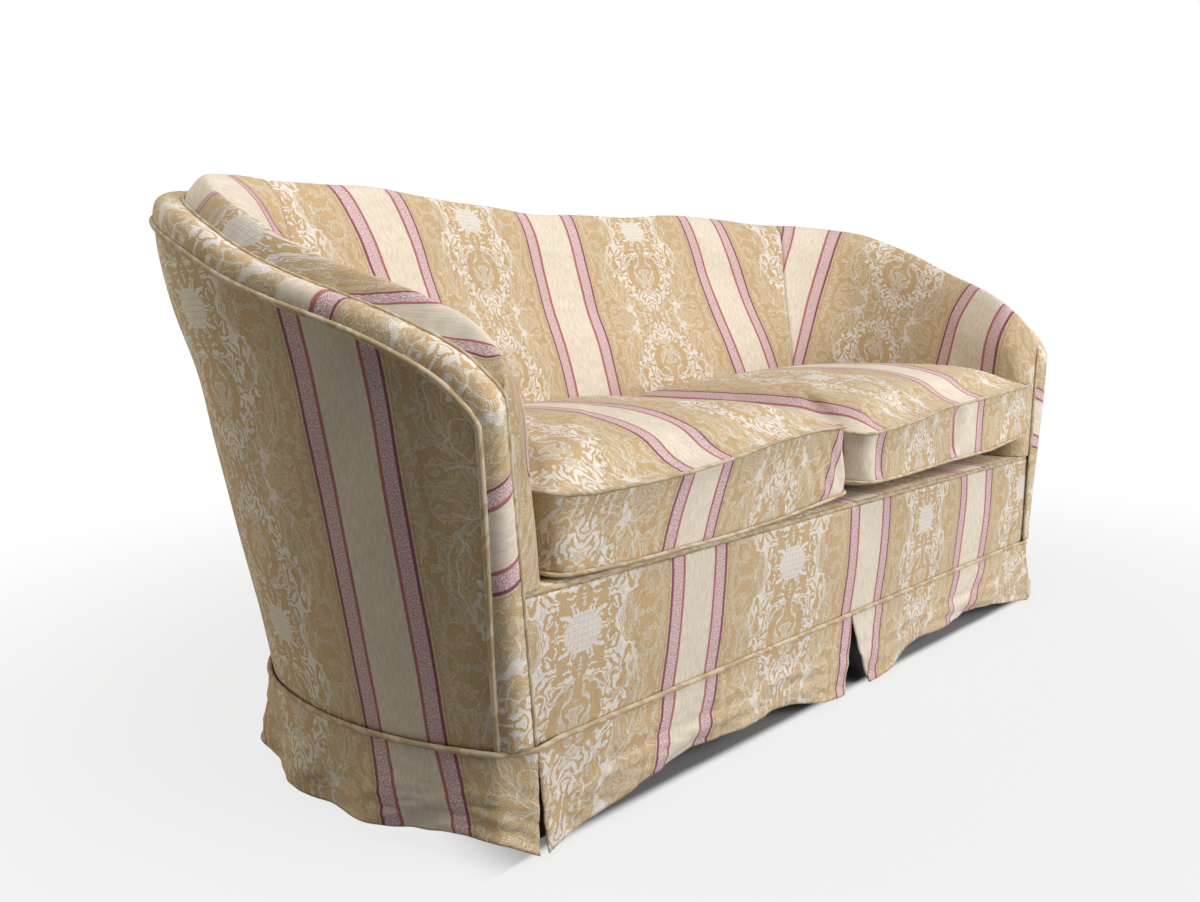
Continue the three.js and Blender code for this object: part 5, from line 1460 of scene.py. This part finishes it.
# Ovals are (middle x, middle y, radius across, radius up), flowers (middle x, middle y, radius).
OVALS = {"medallion": (0, 100, 62, 74), "crescent": (6, 102, 25, 30)}
OVALS |= {"basket": (0, 200, 30, 24), "garland": (0.0, 100, 104, 92)}
FLOWERS = [(79, 103, 8.5), (70, 132, 7.5), (83, 76, 6.5), (62, 58, 6)]
ROSETTES = [(17, 66, 6), (0, 74, 5)]


def leaf(x, y, middle_x, middle_y, radius, facing, spread, width, teeth, depth):
    """How far a place lies outside a curved leaf: its distance from the arc, less a width that
    falls with the square of the turn from the leaf's middle, plus teeth along both edges."""
    right, over = x - middle_x, y - middle_y
    turn = (over.math("ARCTAN2", right) - float(np.radians(facing))).math("WRAP", np.pi, -np.pi)
    off = (distance(right, over) - radius).math("ABSOLUTE")
    narrowing = width / float(np.radians(spread)) ** 2
    outside = off + (turn * turn).math("MULTIPLY_ADD", narrowing, -width)
    if teeth:
        outside = (turn * (teeth * 90 / spread)).sine().math("MULTIPLY_ADD", depth, outside)
    return outside


def leaves(x, y, table):
    """The nearest of a table's leaves."""
    near = leaf(x, y, *table[0])
    for row in table[1:]:
        near = near.least(leaf(x, y, *row))
    return near


def flower(x, y, middle_x, middle_y, size):
    """A ring at the edge of the flower's radius, and an eye of four tenths of it."""
    reach = distance(x - middle_x, y - middle_y)
    return reach.line(size * 0.8, size * 0.2, 0.8).most(reach.less(size * 0.4, 0.8))


# %% Masks of the golden field
def field_figures(tree, x, v):
    """The golden field's masks: white ground round the middle, darker leaves, and the thin pale lines
    that follow each figure. One noise bends every edge. A second, bent by the first, is the flow, and
    its strands are the sine of 62 times the flow plus 8 times its sister: leaves lie where the
    strands are high, and thin lines on one of their contours."""
    grain = noise_node(tree, x, v, 58.0, 2.0, 1.0)
    bend, lift = (part - 0.5 for part in three_noises(tree, grain)[:2])
    rough = Field(tree, grain.outputs["Fac"]) - 0.5
    sx, sv = bend * 10 + x * 1000, lift * 10 + v * 1000
    swept = noise_node(tree, bend * 0.024 + x, lift * 0.024 + v * 0.75, 34.0, 0.0, 7.0)
    flow, second = three_noises(tree, swept)[:2]
    strands = (flow * 62 + second * 8).sine()

    inner = leaves(sx, sv, INNER_LEAVES)
    outer = leaves(sx, sv, GARLAND_LEAVES)

    # The white zone: narrow at the spindle, wide at medallion and basket, with a torn edge.
    widening = sv.less(38, 46).off() * 46 + sv.less(150, 172).off() * 20 + 15 + (sv * 0.21).sine() * 3
    pale = (sx - widening + rough * 20 + (flow - 0.5) * 80).less(0, 1.6)
    core = (oval(sx, sv, *OVALS["medallion"]) + rough * 0.3).less(0.64, 0.04)
    crescent = oval(sx, sv, *OVALS["crescent"]).line(1.0, 0.15, 0.05) * sx.less(13, 5).off()
    small, large = (distance(sx - cx, sv - cy).less(size, 1.2) for cx, cy, size in ROSETTES)
    trellis = oval(sx, sv, *OVALS["basket"]).less(1, 0.06)
    weave = (x * 400).sine().line(0, 0.30, 0.3).most((v * 400).sine().line(0, 0.30, 0.3))

    leafy = strands.less(0.25, 0.20).off() * core.off()
    figures = inner.less(0, 0.8).most(crescent).most(small.most(large)).most(leafy) * trellis.off()
    outline = inner.line(2.0, 0.8, 0.8)
    white = (core * 0.75).off().most(outline * 0.9).most(trellis) * figures.off() * pale
    flecks = (rough * 30 - outer).less(-9.5, 1.0) * outer.less(-1.5, 1.0)
    torn = second.line(0.50, 0.022, 0.012) * sx.less(95, 10) * 0.8
    white = white.most(flecks * 0.8).most(torn * pale.off()) * (trellis * weave * -0.45 + 1)

    rounds = flower(sx, sv, *FLOWERS[0])
    for row in FLOWERS[1:]:
        rounds = rounds.most(flower(sx, sv, *row))

    flowing = strands.less(0.1, 0.3).off() * flow.less(0.50, 0.03).off()
    dark = figures.most(outer.less(0, 0.8) * pale.off()).most(rounds * 0.85 * pale.off())
    dark = dark.most(flowing * pale.off() * 0.55).most(pale * 0.35) * white.off()
    garland = oval(sx, sv, *OVALS["garland"])
    garland_line = garland.line(1.0, 0.010, 0.012).most(garland.line(1.08, 0.006, 0.010))
    echo = outer.line(2.6, 0.35, 0.5).most(outer.line(6.0, 0.3, 0.5) * 0.8)
    contour = strands.line(-0.55, 0.14, 0.25) * 0.9
    lines = echo.most(garland_line).most(contour) * pale.off() * outer.less(0.5, 0.5).off()
    veins = outer.line(-3.2, 0.4, 0.6) + inner.line(-2.6, 0.3, 0.5)
    return white, dark * (veins * -0.4 + 1), lines, rough


# %% Stripe damask
# Metres from the middle of the cream stripe, and half widths.
ACROSS = {"cream_half": 0.0325, "rose": 0.0465, "rose_half": 0.0140, "border": 0.0645, "field": 0.062}
ACROSS |= {"inner_edge": 0.0350, "outer_edge": 0.0582, "edge_half": 0.0022}


def make_damask():
    """Colour, height and roughness of the cloth from the place on it."""
    tree, entry, leave = new_group("stripe_damask")
    across, along = place_parts(tree, entry)[:2]
    sway = noise(tree, across, along, 9.0, 0.0, 2.0) - 0.5
    a = (across + sway * 0.0016).math("PINGPONG", REPEAT / 2)
    v = along.math("PINGPONG", RISE)
    x = a * -1 + REPEAT / 2

    white, dark, lines, rough = field_figures(tree, x, v)
    shade = noise(tree, across, along, 26.0, 2.0, 21.0)
    field = dyed(tree, shade, "field_low", "field_high")
    field = dyed(tree, dark, field, "gold")
    field = dyed(tree, lines * 0.8, field, "fine_line")
    field = dyed(tree, white, field, "white")

    # Cream stripe: wavy grain up the cloth.
    swing = noise(tree, across, along, 30.0, 1.0, 31.0)
    wavy = noise(tree, across * 5 + swing * 0.10, along, 60.0, 2.0, 33.0)
    cream = dyed(tree, wavy.less(0.5, 0.5), "cream", "cream_grain")

    # Rose stripes: speckled chenille between two darker lines.
    speck = noise(tree, across * 1.6, along, 460.0, 1.0, 41.0)
    rose = dyed(tree, speck.less(0.52, 0.10), "rose_pale", "rose_deep")
    for edge in ("inner_edge", "outer_edge"):
        on_edge = a.line(ACROSS[edge], ACROSS["edge_half"], 0.0012)
        rose = dyed(tree, on_edge, rose, f"rose_{edge}")
    is_rose = a.line(ACROSS["rose"], ACROSS["rose_half"], 0.0006)
    is_cream = a.less(ACROSS["cream_half"], 0.0006)
    border = a.line(ACROSS["border"], 0.0012, 0.0012) * 0.6
    colour = dyed(tree, border, field, "border")
    colour = dyed(tree, is_cream, colour, cream)
    colour = dyed(tree, is_rose, colour, rose)

    inputs = {"Pitch": 0.0011, "Place": entry.outputs["Place"]}
    thread = Field(tree, add_node(tree, "Group", inputs, node_tree=threads).outputs["Height"])
    in_field = a.less(ACROSS["field"], 0.002).off()
    ridges = (rough * 70).sine().math("ABSOLUTE")
    height = ridges * in_field * 0.5 + is_rose * speck + thread * 0.16
    aged = noise(tree, across, along, 7.0, 3.0, 51.0)
    grime = aged.less(0.40, 0.25) * 0.10 + thread * 0.05
    colour = dyed(tree, grime, colour, "dust")
    roughness = white * -0.10 + is_rose * 0.10 + 0.78
    leave_with(tree, leave, Color=colour, Height=height, Roughness=roughness)
    return tree


damask = make_damask()
print("stripe damask group:", len(damask.nodes), "nodes")


# %% Materials from a group
def patterned(name, group, place_of, relief, strength=1.0, **values):
    """A material whose group is fed a place and gives its colour, roughness and bump. The place is
    the cloth map's, or the object's own."""
    made, shader = material(name)
    tree = made.node_tree
    if place_of == "cloth":
        place = add_node(tree, "UVMap", uv_map="cloth").outputs[0]
    else:
        place = add_node(tree, "TexCoord").outputs["Object"]
    pattern = add_node(tree, "Group", {"Place": place, **values}, node_tree=group)
    inputs = {"Strength": strength, "Distance": relief, "Height": pattern.outputs["Height"]}
    bump = add_node(tree, "Bump", inputs)
    plug(tree, shader.inputs["Base Color"], pattern.outputs["Color"])
    plug(tree, shader.inputs["Roughness"], pattern.outputs["Roughness"])
    plug(tree, shader.inputs["Normal"], bump.outputs["Normal"])
    return made, shader


def cloth_material(name, group, relief, **values):
    """A cloth's material; sheen stands for the yarn's fuzz."""
    made, shader = patterned(name, group, "cloth", relief, 0.8, **values)
    for label, value in (("Sheen Weight", 0.12), ("Sheen Roughness", 0.5), ("Specular IOR Level", 0.3)):
        shader.inputs[label].default_value = value
    return made


damask_cloth = cloth_material("damask_cloth", damask, 0.0012)
print("damask:", [node.bl_label for node in damask_cloth.node_tree.nodes])

# %% [markdown]
# ### Other finishes
# Piping is the same cloth cut on the slant, so only its cream and gold show, as twisted threads.
# The frame's boards are planed softwood, the feet are stained dark, and below the seat are jute
# webbing, hessian and a black dust cover.

# %% Piping cloth
def make_piping_cloth():
    """Slanting threads round the cord; cream and gold change along it as the slant crosses figures, and
    painted shade darkens the grooves between the threads.
    """
    tree, entry, leave = new_group("slant_cloth")
    along, around = place_parts(tree, entry)[:2]
    slant = along + around * 0.9
    patch = noise(tree, slant, around, 55.0, 1.0, 2.0)
    thread = ((slant * (np.pi / 0.0014)).sine().math("ABSOLUTE") + patch * 0.4) * 0.7
    dust = noise(tree, along, around, 12.0, 2.0, 8.0)
    colour = dyed(tree, patch.less(0.50, 0.06), "piping_pale", "piping_deep")
    colour = dyed(tree, dust.less(0.42, 0.2) * 0.3, colour, "piping_dust")
    # Painted shade: the grooves between the threads are darkened in the colour.
    colour = dyed(tree, thread.less(0.25, 0.3) * 0.3, colour, "piping_gap")
    leave_with(tree, leave, Color=colour, Height=thread, Roughness=dust * 0.1 + 0.74)
    return tree


piping_cloth = cloth_material("piping_cloth", make_piping_cloth(), 0.0006)
print("piping:", piping_cloth.name)


# %% Wood
def make_wood():
    """Growth rings cut lengthwise: waves across the grain, stretched along it and bent by noise."""
    tones = [("Early", "NodeSocketColor", None), ("Late", "NodeSocketColor", None)]
    tree, entry, leave = new_group("wood_grain", tones)
    x, y, z = place_parts(tree, entry)
    bend = noise(tree, x * 0.6 + z * 0.2, y * 0.6, 6.0, 2.0, 1.0)
    rings = ((x * 40 + y * 55 + z * 150 + bend * 22).sine() * 0.5 + 0.5) * 0.8
    pores = noise(tree, x * 3 + y * 3, z * 22, 60.0, 2.0, 6.0)
    share = (rings + pores * 0.5).math("MINIMUM", 1.0)
    colour = dyed(tree, share, entry.outputs["Early"], entry.outputs["Late"])
    leave_with(tree, leave, Color=colour, Height=share, Roughness=pores * 0.3 + 0.42)
    return tree


wood_grain = make_wood()


def wood_material(name, wood):
    """Wood of one kind's early and late tones."""
    tones = {"Early": dye(f"{wood}_early"), "Late": dye(f"{wood}_late")}
    return patterned(name, wood_grain, "object", 0.0003, **tones)[0]


frame_wood = wood_material("planed_softwood", "planed")
foot_wood = wood_material("dark_stained_wood", "stained")
print("wood grain group:", len(wood_grain.nodes), "nodes")


# %% Jute, hessian, lining and zip tape
def make_plain_weave():
    """Threads in two directions over a tone that changes a little from yarn to yarn, with painted light and
    shade: darker between the threads and lighter on their crowns.
    """
    tones = [("Light", "NodeSocketColor", None), ("Dark", "NodeSocketColor", None)]
    tree, entry, leave = new_group("plain_weave", [("Pitch", "NodeSocketFloat", 0.002), *tones])
    inputs = {label: entry.outputs[label] for label in ("Place", "Pitch")}
    yarn = add_node(tree, "Group", inputs, node_tree=threads)
    height = Field(tree, yarn.outputs["Height"])
    # Painted light and shade of the weave: the tone is darker where the threads lie low and lighter on their
    # crowns; the slub is the yarn's own tone.
    share = (height * -0.6 + Field(tree, yarn.outputs["Slub"]) + 0.25).math("MINIMUM", 1.0)
    colour = dyed(tree, share, entry.outputs["Light"], entry.outputs["Dark"])
    leave_with(tree, leave, Color=colour, Height=height, Roughness=height * -0.1 + 0.9)
    return tree


plain_weave = make_plain_weave()


def weave_material(name, yarn, pitch):
    """A plain woven cloth of one yarn's two tones at a pitch."""
    tones = {"Light": dye(f"{yarn}_pale"), "Dark": dye(f"{yarn}_deep")}
    return cloth_material(name, plain_weave, 0.0006, Pitch=pitch, **tones)


jute = weave_material("jute_webbing", "jute", 0.003)
hessian_cloth = weave_material("hessian", "hessian", 0.0022)
lining_cloth = weave_material("black_lining", "lining", 0.0012)
tape_cloth = weave_material("zip_tape", "tape", 0.0009)


def make_brass():
    """Worn brass: its tone changes with fine scratches across it."""
    made, shader = material("brass")
    tree = made.node_tree
    place = add_node(tree, "TexCoord").outputs["Object"]
    worn = add_node(tree, "TexNoise", {"Vector": place, "Scale": 900.0})
    plug(tree, shader.inputs["Base Color"], dyed(tree, worn.outputs[0], "brass_bright", "brass_worn"))
    shader.inputs["Metallic"].default_value = 1.0
    shader.inputs["Roughness"].default_value = 0.38
    return made


brass = make_brass()
print("finishes:", [m.name for m in bpy.data.materials])

# %% [markdown]
# ## Camera, floor and light
# The camera stands where the photograph was taken from: to the front left and a little above the
# seat. The light is a soft studio light, broad and pale, from the front and above, and the ground
# is a plain pale floor.

# %% Camera
eye = np.array([-1.239, -1.1616, 0.6063])
yaw, pitch, roll = 0.740, -0.145, -0.020
ahead = np.array([np.sin(yaw) * np.cos(pitch), np.cos(yaw) * np.cos(pitch), np.sin(pitch)])
level_right = np.array([np.cos(yaw), -np.sin(yaw), 0])
level_up = np.cross(level_right, ahead)
right = np.cos(roll) * level_right + np.sin(roll) * level_up
up = -np.sin(roll) * level_right + np.cos(roll) * level_up
camera_data = bpy.data.cameras.new("camera")
camera_data.lens, camera_data.sensor_width, camera_data.clip_start = 27, 36, 0.05
camera = bpy.data.objects.new("camera", camera_data)
pose = np.eye(4)
pose[:3] = np.stack([right, up, -ahead, eye], 1)
camera.matrix_world = Matrix(pose.tolist())
bpy.context.scene.collection.objects.link(camera)
bpy.context.scene.camera = camera
print("camera at", tuple(round(c, 3) for c in eye))

# %% [markdown]
# ### Floor
# The photograph has no ground, only white. A lit floor would be grey there, so for the camera alone
# it glows: fully far away, less near the sofa, and not at all in an oval under it, where its own
# shade is kept. Other rays see a plain matt floor.

# %% Pale floor
floor_mesh = bpy.data.meshes.new("floor")  # 18 m square
floor_mesh.from_pydata([(-9, -9, 0), (9, -9, 0), (9, 9, 0), (-9, 9, 0)], [], [(0, 1, 2, 3)])
floor = bpy.data.objects.new("floor", floor_mesh)
bpy.context.scene.collection.objects.link(floor)
floor_look, floor_shader = material("pale_floor")
floor_shader.inputs["Base Color"].default_value = (0.36, 0.36, 0.36, 1)
floor_shader.inputs["Roughness"].default_value = 0.9
tree = floor_look.node_tree
spot = add_node(tree, "TexCoord").outputs["Object"]
OVAL = (0.74, 0.78)  # half width and depth, about the middle of the front line
inputs = {"Vector": spot, "Scale": (1 / OVAL[0], 1 / OVAL[1], 1), "Location": (0, -SHIFT / OVAL[1], 0)}
under = add_node(tree, "Mapping", inputs)
oval_reach = add_node(tree, "VectorMath", {0: under.outputs[0]}, operation="LENGTH").outputs["Value"]
front_back = add_node(tree, "SeparateXYZ", {0: spot}).outputs[1]
outside_oval = Field(tree, soft_step(tree, oval_reach, 0.80, 1.0))
before_front = Field(tree, soft_step(tree, front_back, -0.385, -0.405))
reach = add_node(tree, "VectorMath", {0: spot}, operation="LENGTH").outputs["Value"]
fade = Field(tree, soft_step(tree, reach, 0.6, 2.2, 0.80, 1.0))
seen = Field(tree, add_node(tree, "LightPath").outputs["Is Camera Ray"])
glowing = outside_oval.most(before_front) * fade * seen
glow = add_node(tree, "Emission").outputs[0]
paler = add_node(tree, "MixShader", {0: glowing, 1: floor_shader.outputs[0], 2: glow})
plug(tree, tree.nodes["Material Output"].inputs["Surface"], paler.outputs[0])
floor_mesh.materials.append(floor_look)
print("floor:", len(tree.nodes), "nodes")

# %% [markdown]
# ### World and lamps
# The world gives next to no light; it is only what the camera and shiny things see behind the sofa,
# plain white. Three square lamps light the cloth: a broad one in front, one above, and a warm one
# behind on the left, which the photographed cloth catches along its edge.

# %% World and lamps
world = bpy.data.worlds.new("studio")
bpy.context.scene.world = world
world.use_nodes = True
air = world.node_tree
dim = air.nodes["Background"]
dim.inputs["Color"].default_value = (0.95, 0.97, 1.0, 1)
dim.inputs["Strength"].default_value = 0.035
white = add_node(air, "Background", {"Color": (1, 1, 1, 1), "Strength": 1.0})
rays = add_node(air, "LightPath").outputs
seen = Field(air, rays["Is Camera Ray"]).most(Field(air, rays["Is Glossy Ray"]))
choose = add_node(air, "MixShader", {0: seen, 1: dim.outputs[0], 2: white.outputs[0]})
plug(air, air.nodes["World Output"].inputs["Surface"], choose.outputs[0])


def lamp(name, place, aim, size, power, color):
    """A square area lamp that points from its place to its aim."""
    data = bpy.data.lights.new(name, "AREA")
    data.size, data.energy, data.color = size, power, color
    made = bpy.data.objects.new(name, data)
    made.location = place
    made.rotation_euler = (Vector(aim) - Vector(place)).to_track_quat("-Z", "Y").to_euler()
    bpy.context.scene.collection.objects.link(made)


lamp("front", (1.1, -3.0, 1.45), (0, 0, 0.4), 1.6, 79, (1, 0.97, 0.97))
lamp("above", (-0.4, -0.9, 2.7), (0, 0, 0.3), 1.2, 42, (1, 0.96, 0.93))
lamp("rear_left", (-2.2, 2.0, 1.1), (-0.8, 0.1, 0.45), 0.8, 30, (1, 0.88, 0.66))
bpy.context.scene.view_settings.view_transform = "Standard"
print("lamps:", {light.name: light.energy for light in bpy.data.lights})

# %% [markdown]
# ## Pieces and the CAD nodes they stand for
# Each new piece rides on the body it belongs to and takes the place of its solids. Covers and skirt
# panels are sheets with the size they were cut to; pads and cushions are stuffed.

# %% Bodies, sheets and padded pieces
FINISHES = {"damask": damask_cloth, "piping": piping_cloth, "webbing": jute}
FINISHES |= {"hessian": hessian_cloth, "lining": lining_cloth, "zip": tape_cloth}


def stands_for(piece, body, slot, *nodes):
    """The piece moves with the body, takes the slot's finish and replaces the nodes."""
    piece.data.materials.clear()
    piece.data.materials.append(FINISHES[slot])
    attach(piece, body)
    if nodes:
        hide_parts(*nodes)


FRAME_BODY = "frame"
for side in SIDES:
    stands_for(outside_covers[f"outside_arm_{side}"], FRAME_BODY, "damask", f"outside_arm_cover_{side}")
    stands_for(band_pieces[side], FRAME_BODY, "damask", f"arm_band_{side}")
    stands_for(pads[side], FRAME_BODY, "damask", f"inside_arm_cover_{side}", f"inside_arm_padding_{side}")
    stands_for(skirts[f"skirt_front_{side}"], FRAME_BODY, "damask", f"skirt_front_{side}")
    stands_for(skirts[f"skirt_side_{side}"], FRAME_BODY, "damask", f"skirt_side_{side}")
    body = f"cushion_{side}"
    stands_for(cushions[side], body, "damask", f"cushion_cover_{side}", f"cushion_foam_{side}")
    for level in ("top", "bottom"):
        name = f"cushion_piping_{level}_{side}"
        stands_for(pipings[name], body, "piping", name)
    stands_for(zip_tapes[side], body, "zip", f"cushion_zip_{side}")
    stands_for(zip_teeth[side], body, "zip")
    zip_teeth[side].data.materials[0] = brass
stands_for(outside_back, FRAME_BODY, "damask", "outside_back_cover")
stands_for(band_pieces["back"], FRAME_BODY, "damask", "back_band")
stands_for(pads["back"], FRAME_BODY, "damask", "inside_back_cover", "inside_back_padding")
stands_for(deck, FRAME_BODY, "damask", "deck_cover", "deck_padding")
stands_for(apron, FRAME_BODY, "damask", "apron_cover")
stands_for(skirts["skirt_back"], FRAME_BODY, "damask", "skirt_back")
for node, piece in welts.items():
    stands_for(piece, FRAME_BODY, "piping", node)
stands_for(seat_webbing, FRAME_BODY, "webbing", "seat_webbing")
stands_for(back_webbing, FRAME_BODY, "webbing", "back_webbing")
stands_for(hessian, FRAME_BODY, "hessian", "deck_hessian")
stands_for(dust, FRAME_BODY, "lining", "dust_cover")
SHEETS = [(piece, "hung", ["welt_skirt"]) for piece in skirts.values()]
OUTSIDE = (*outside_covers.values(), outside_back)
SHEETS += [(piece, "stretched", ["welt_outer", "welt_skirt"]) for piece in OUTSIDE]
SHEETS += [(piece, "stretched", ["welt_outer", "welt_inner"]) for piece in band_pieces.values()]
SHEETS += [(apron, "stretched", ["welt_deck", "welt_skirt"]), (hessian, "stretched", ["webbing_seat"])]
SHEETS += [(dust, "stretched", ["seat_rail_front", "seat_rail_back"])]
for piece, held, rests_on in SHEETS:
    wide, tall, area = CUT_SIZES[piece.name]
    print(f"{piece.name}: cut {wide * 1000:.0f} x {tall * 1000:.0f} mm, {area:.3f} m2, {held}")
WOODEN = ("post", "rail", "block")
for name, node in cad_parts.items():
    finish = foot_wood if name.startswith("foot") else frame_wood
    if name.startswith("foot") or any(word in name for word in WOODEN):
        for place in node.material_slots:
            place.material = finish
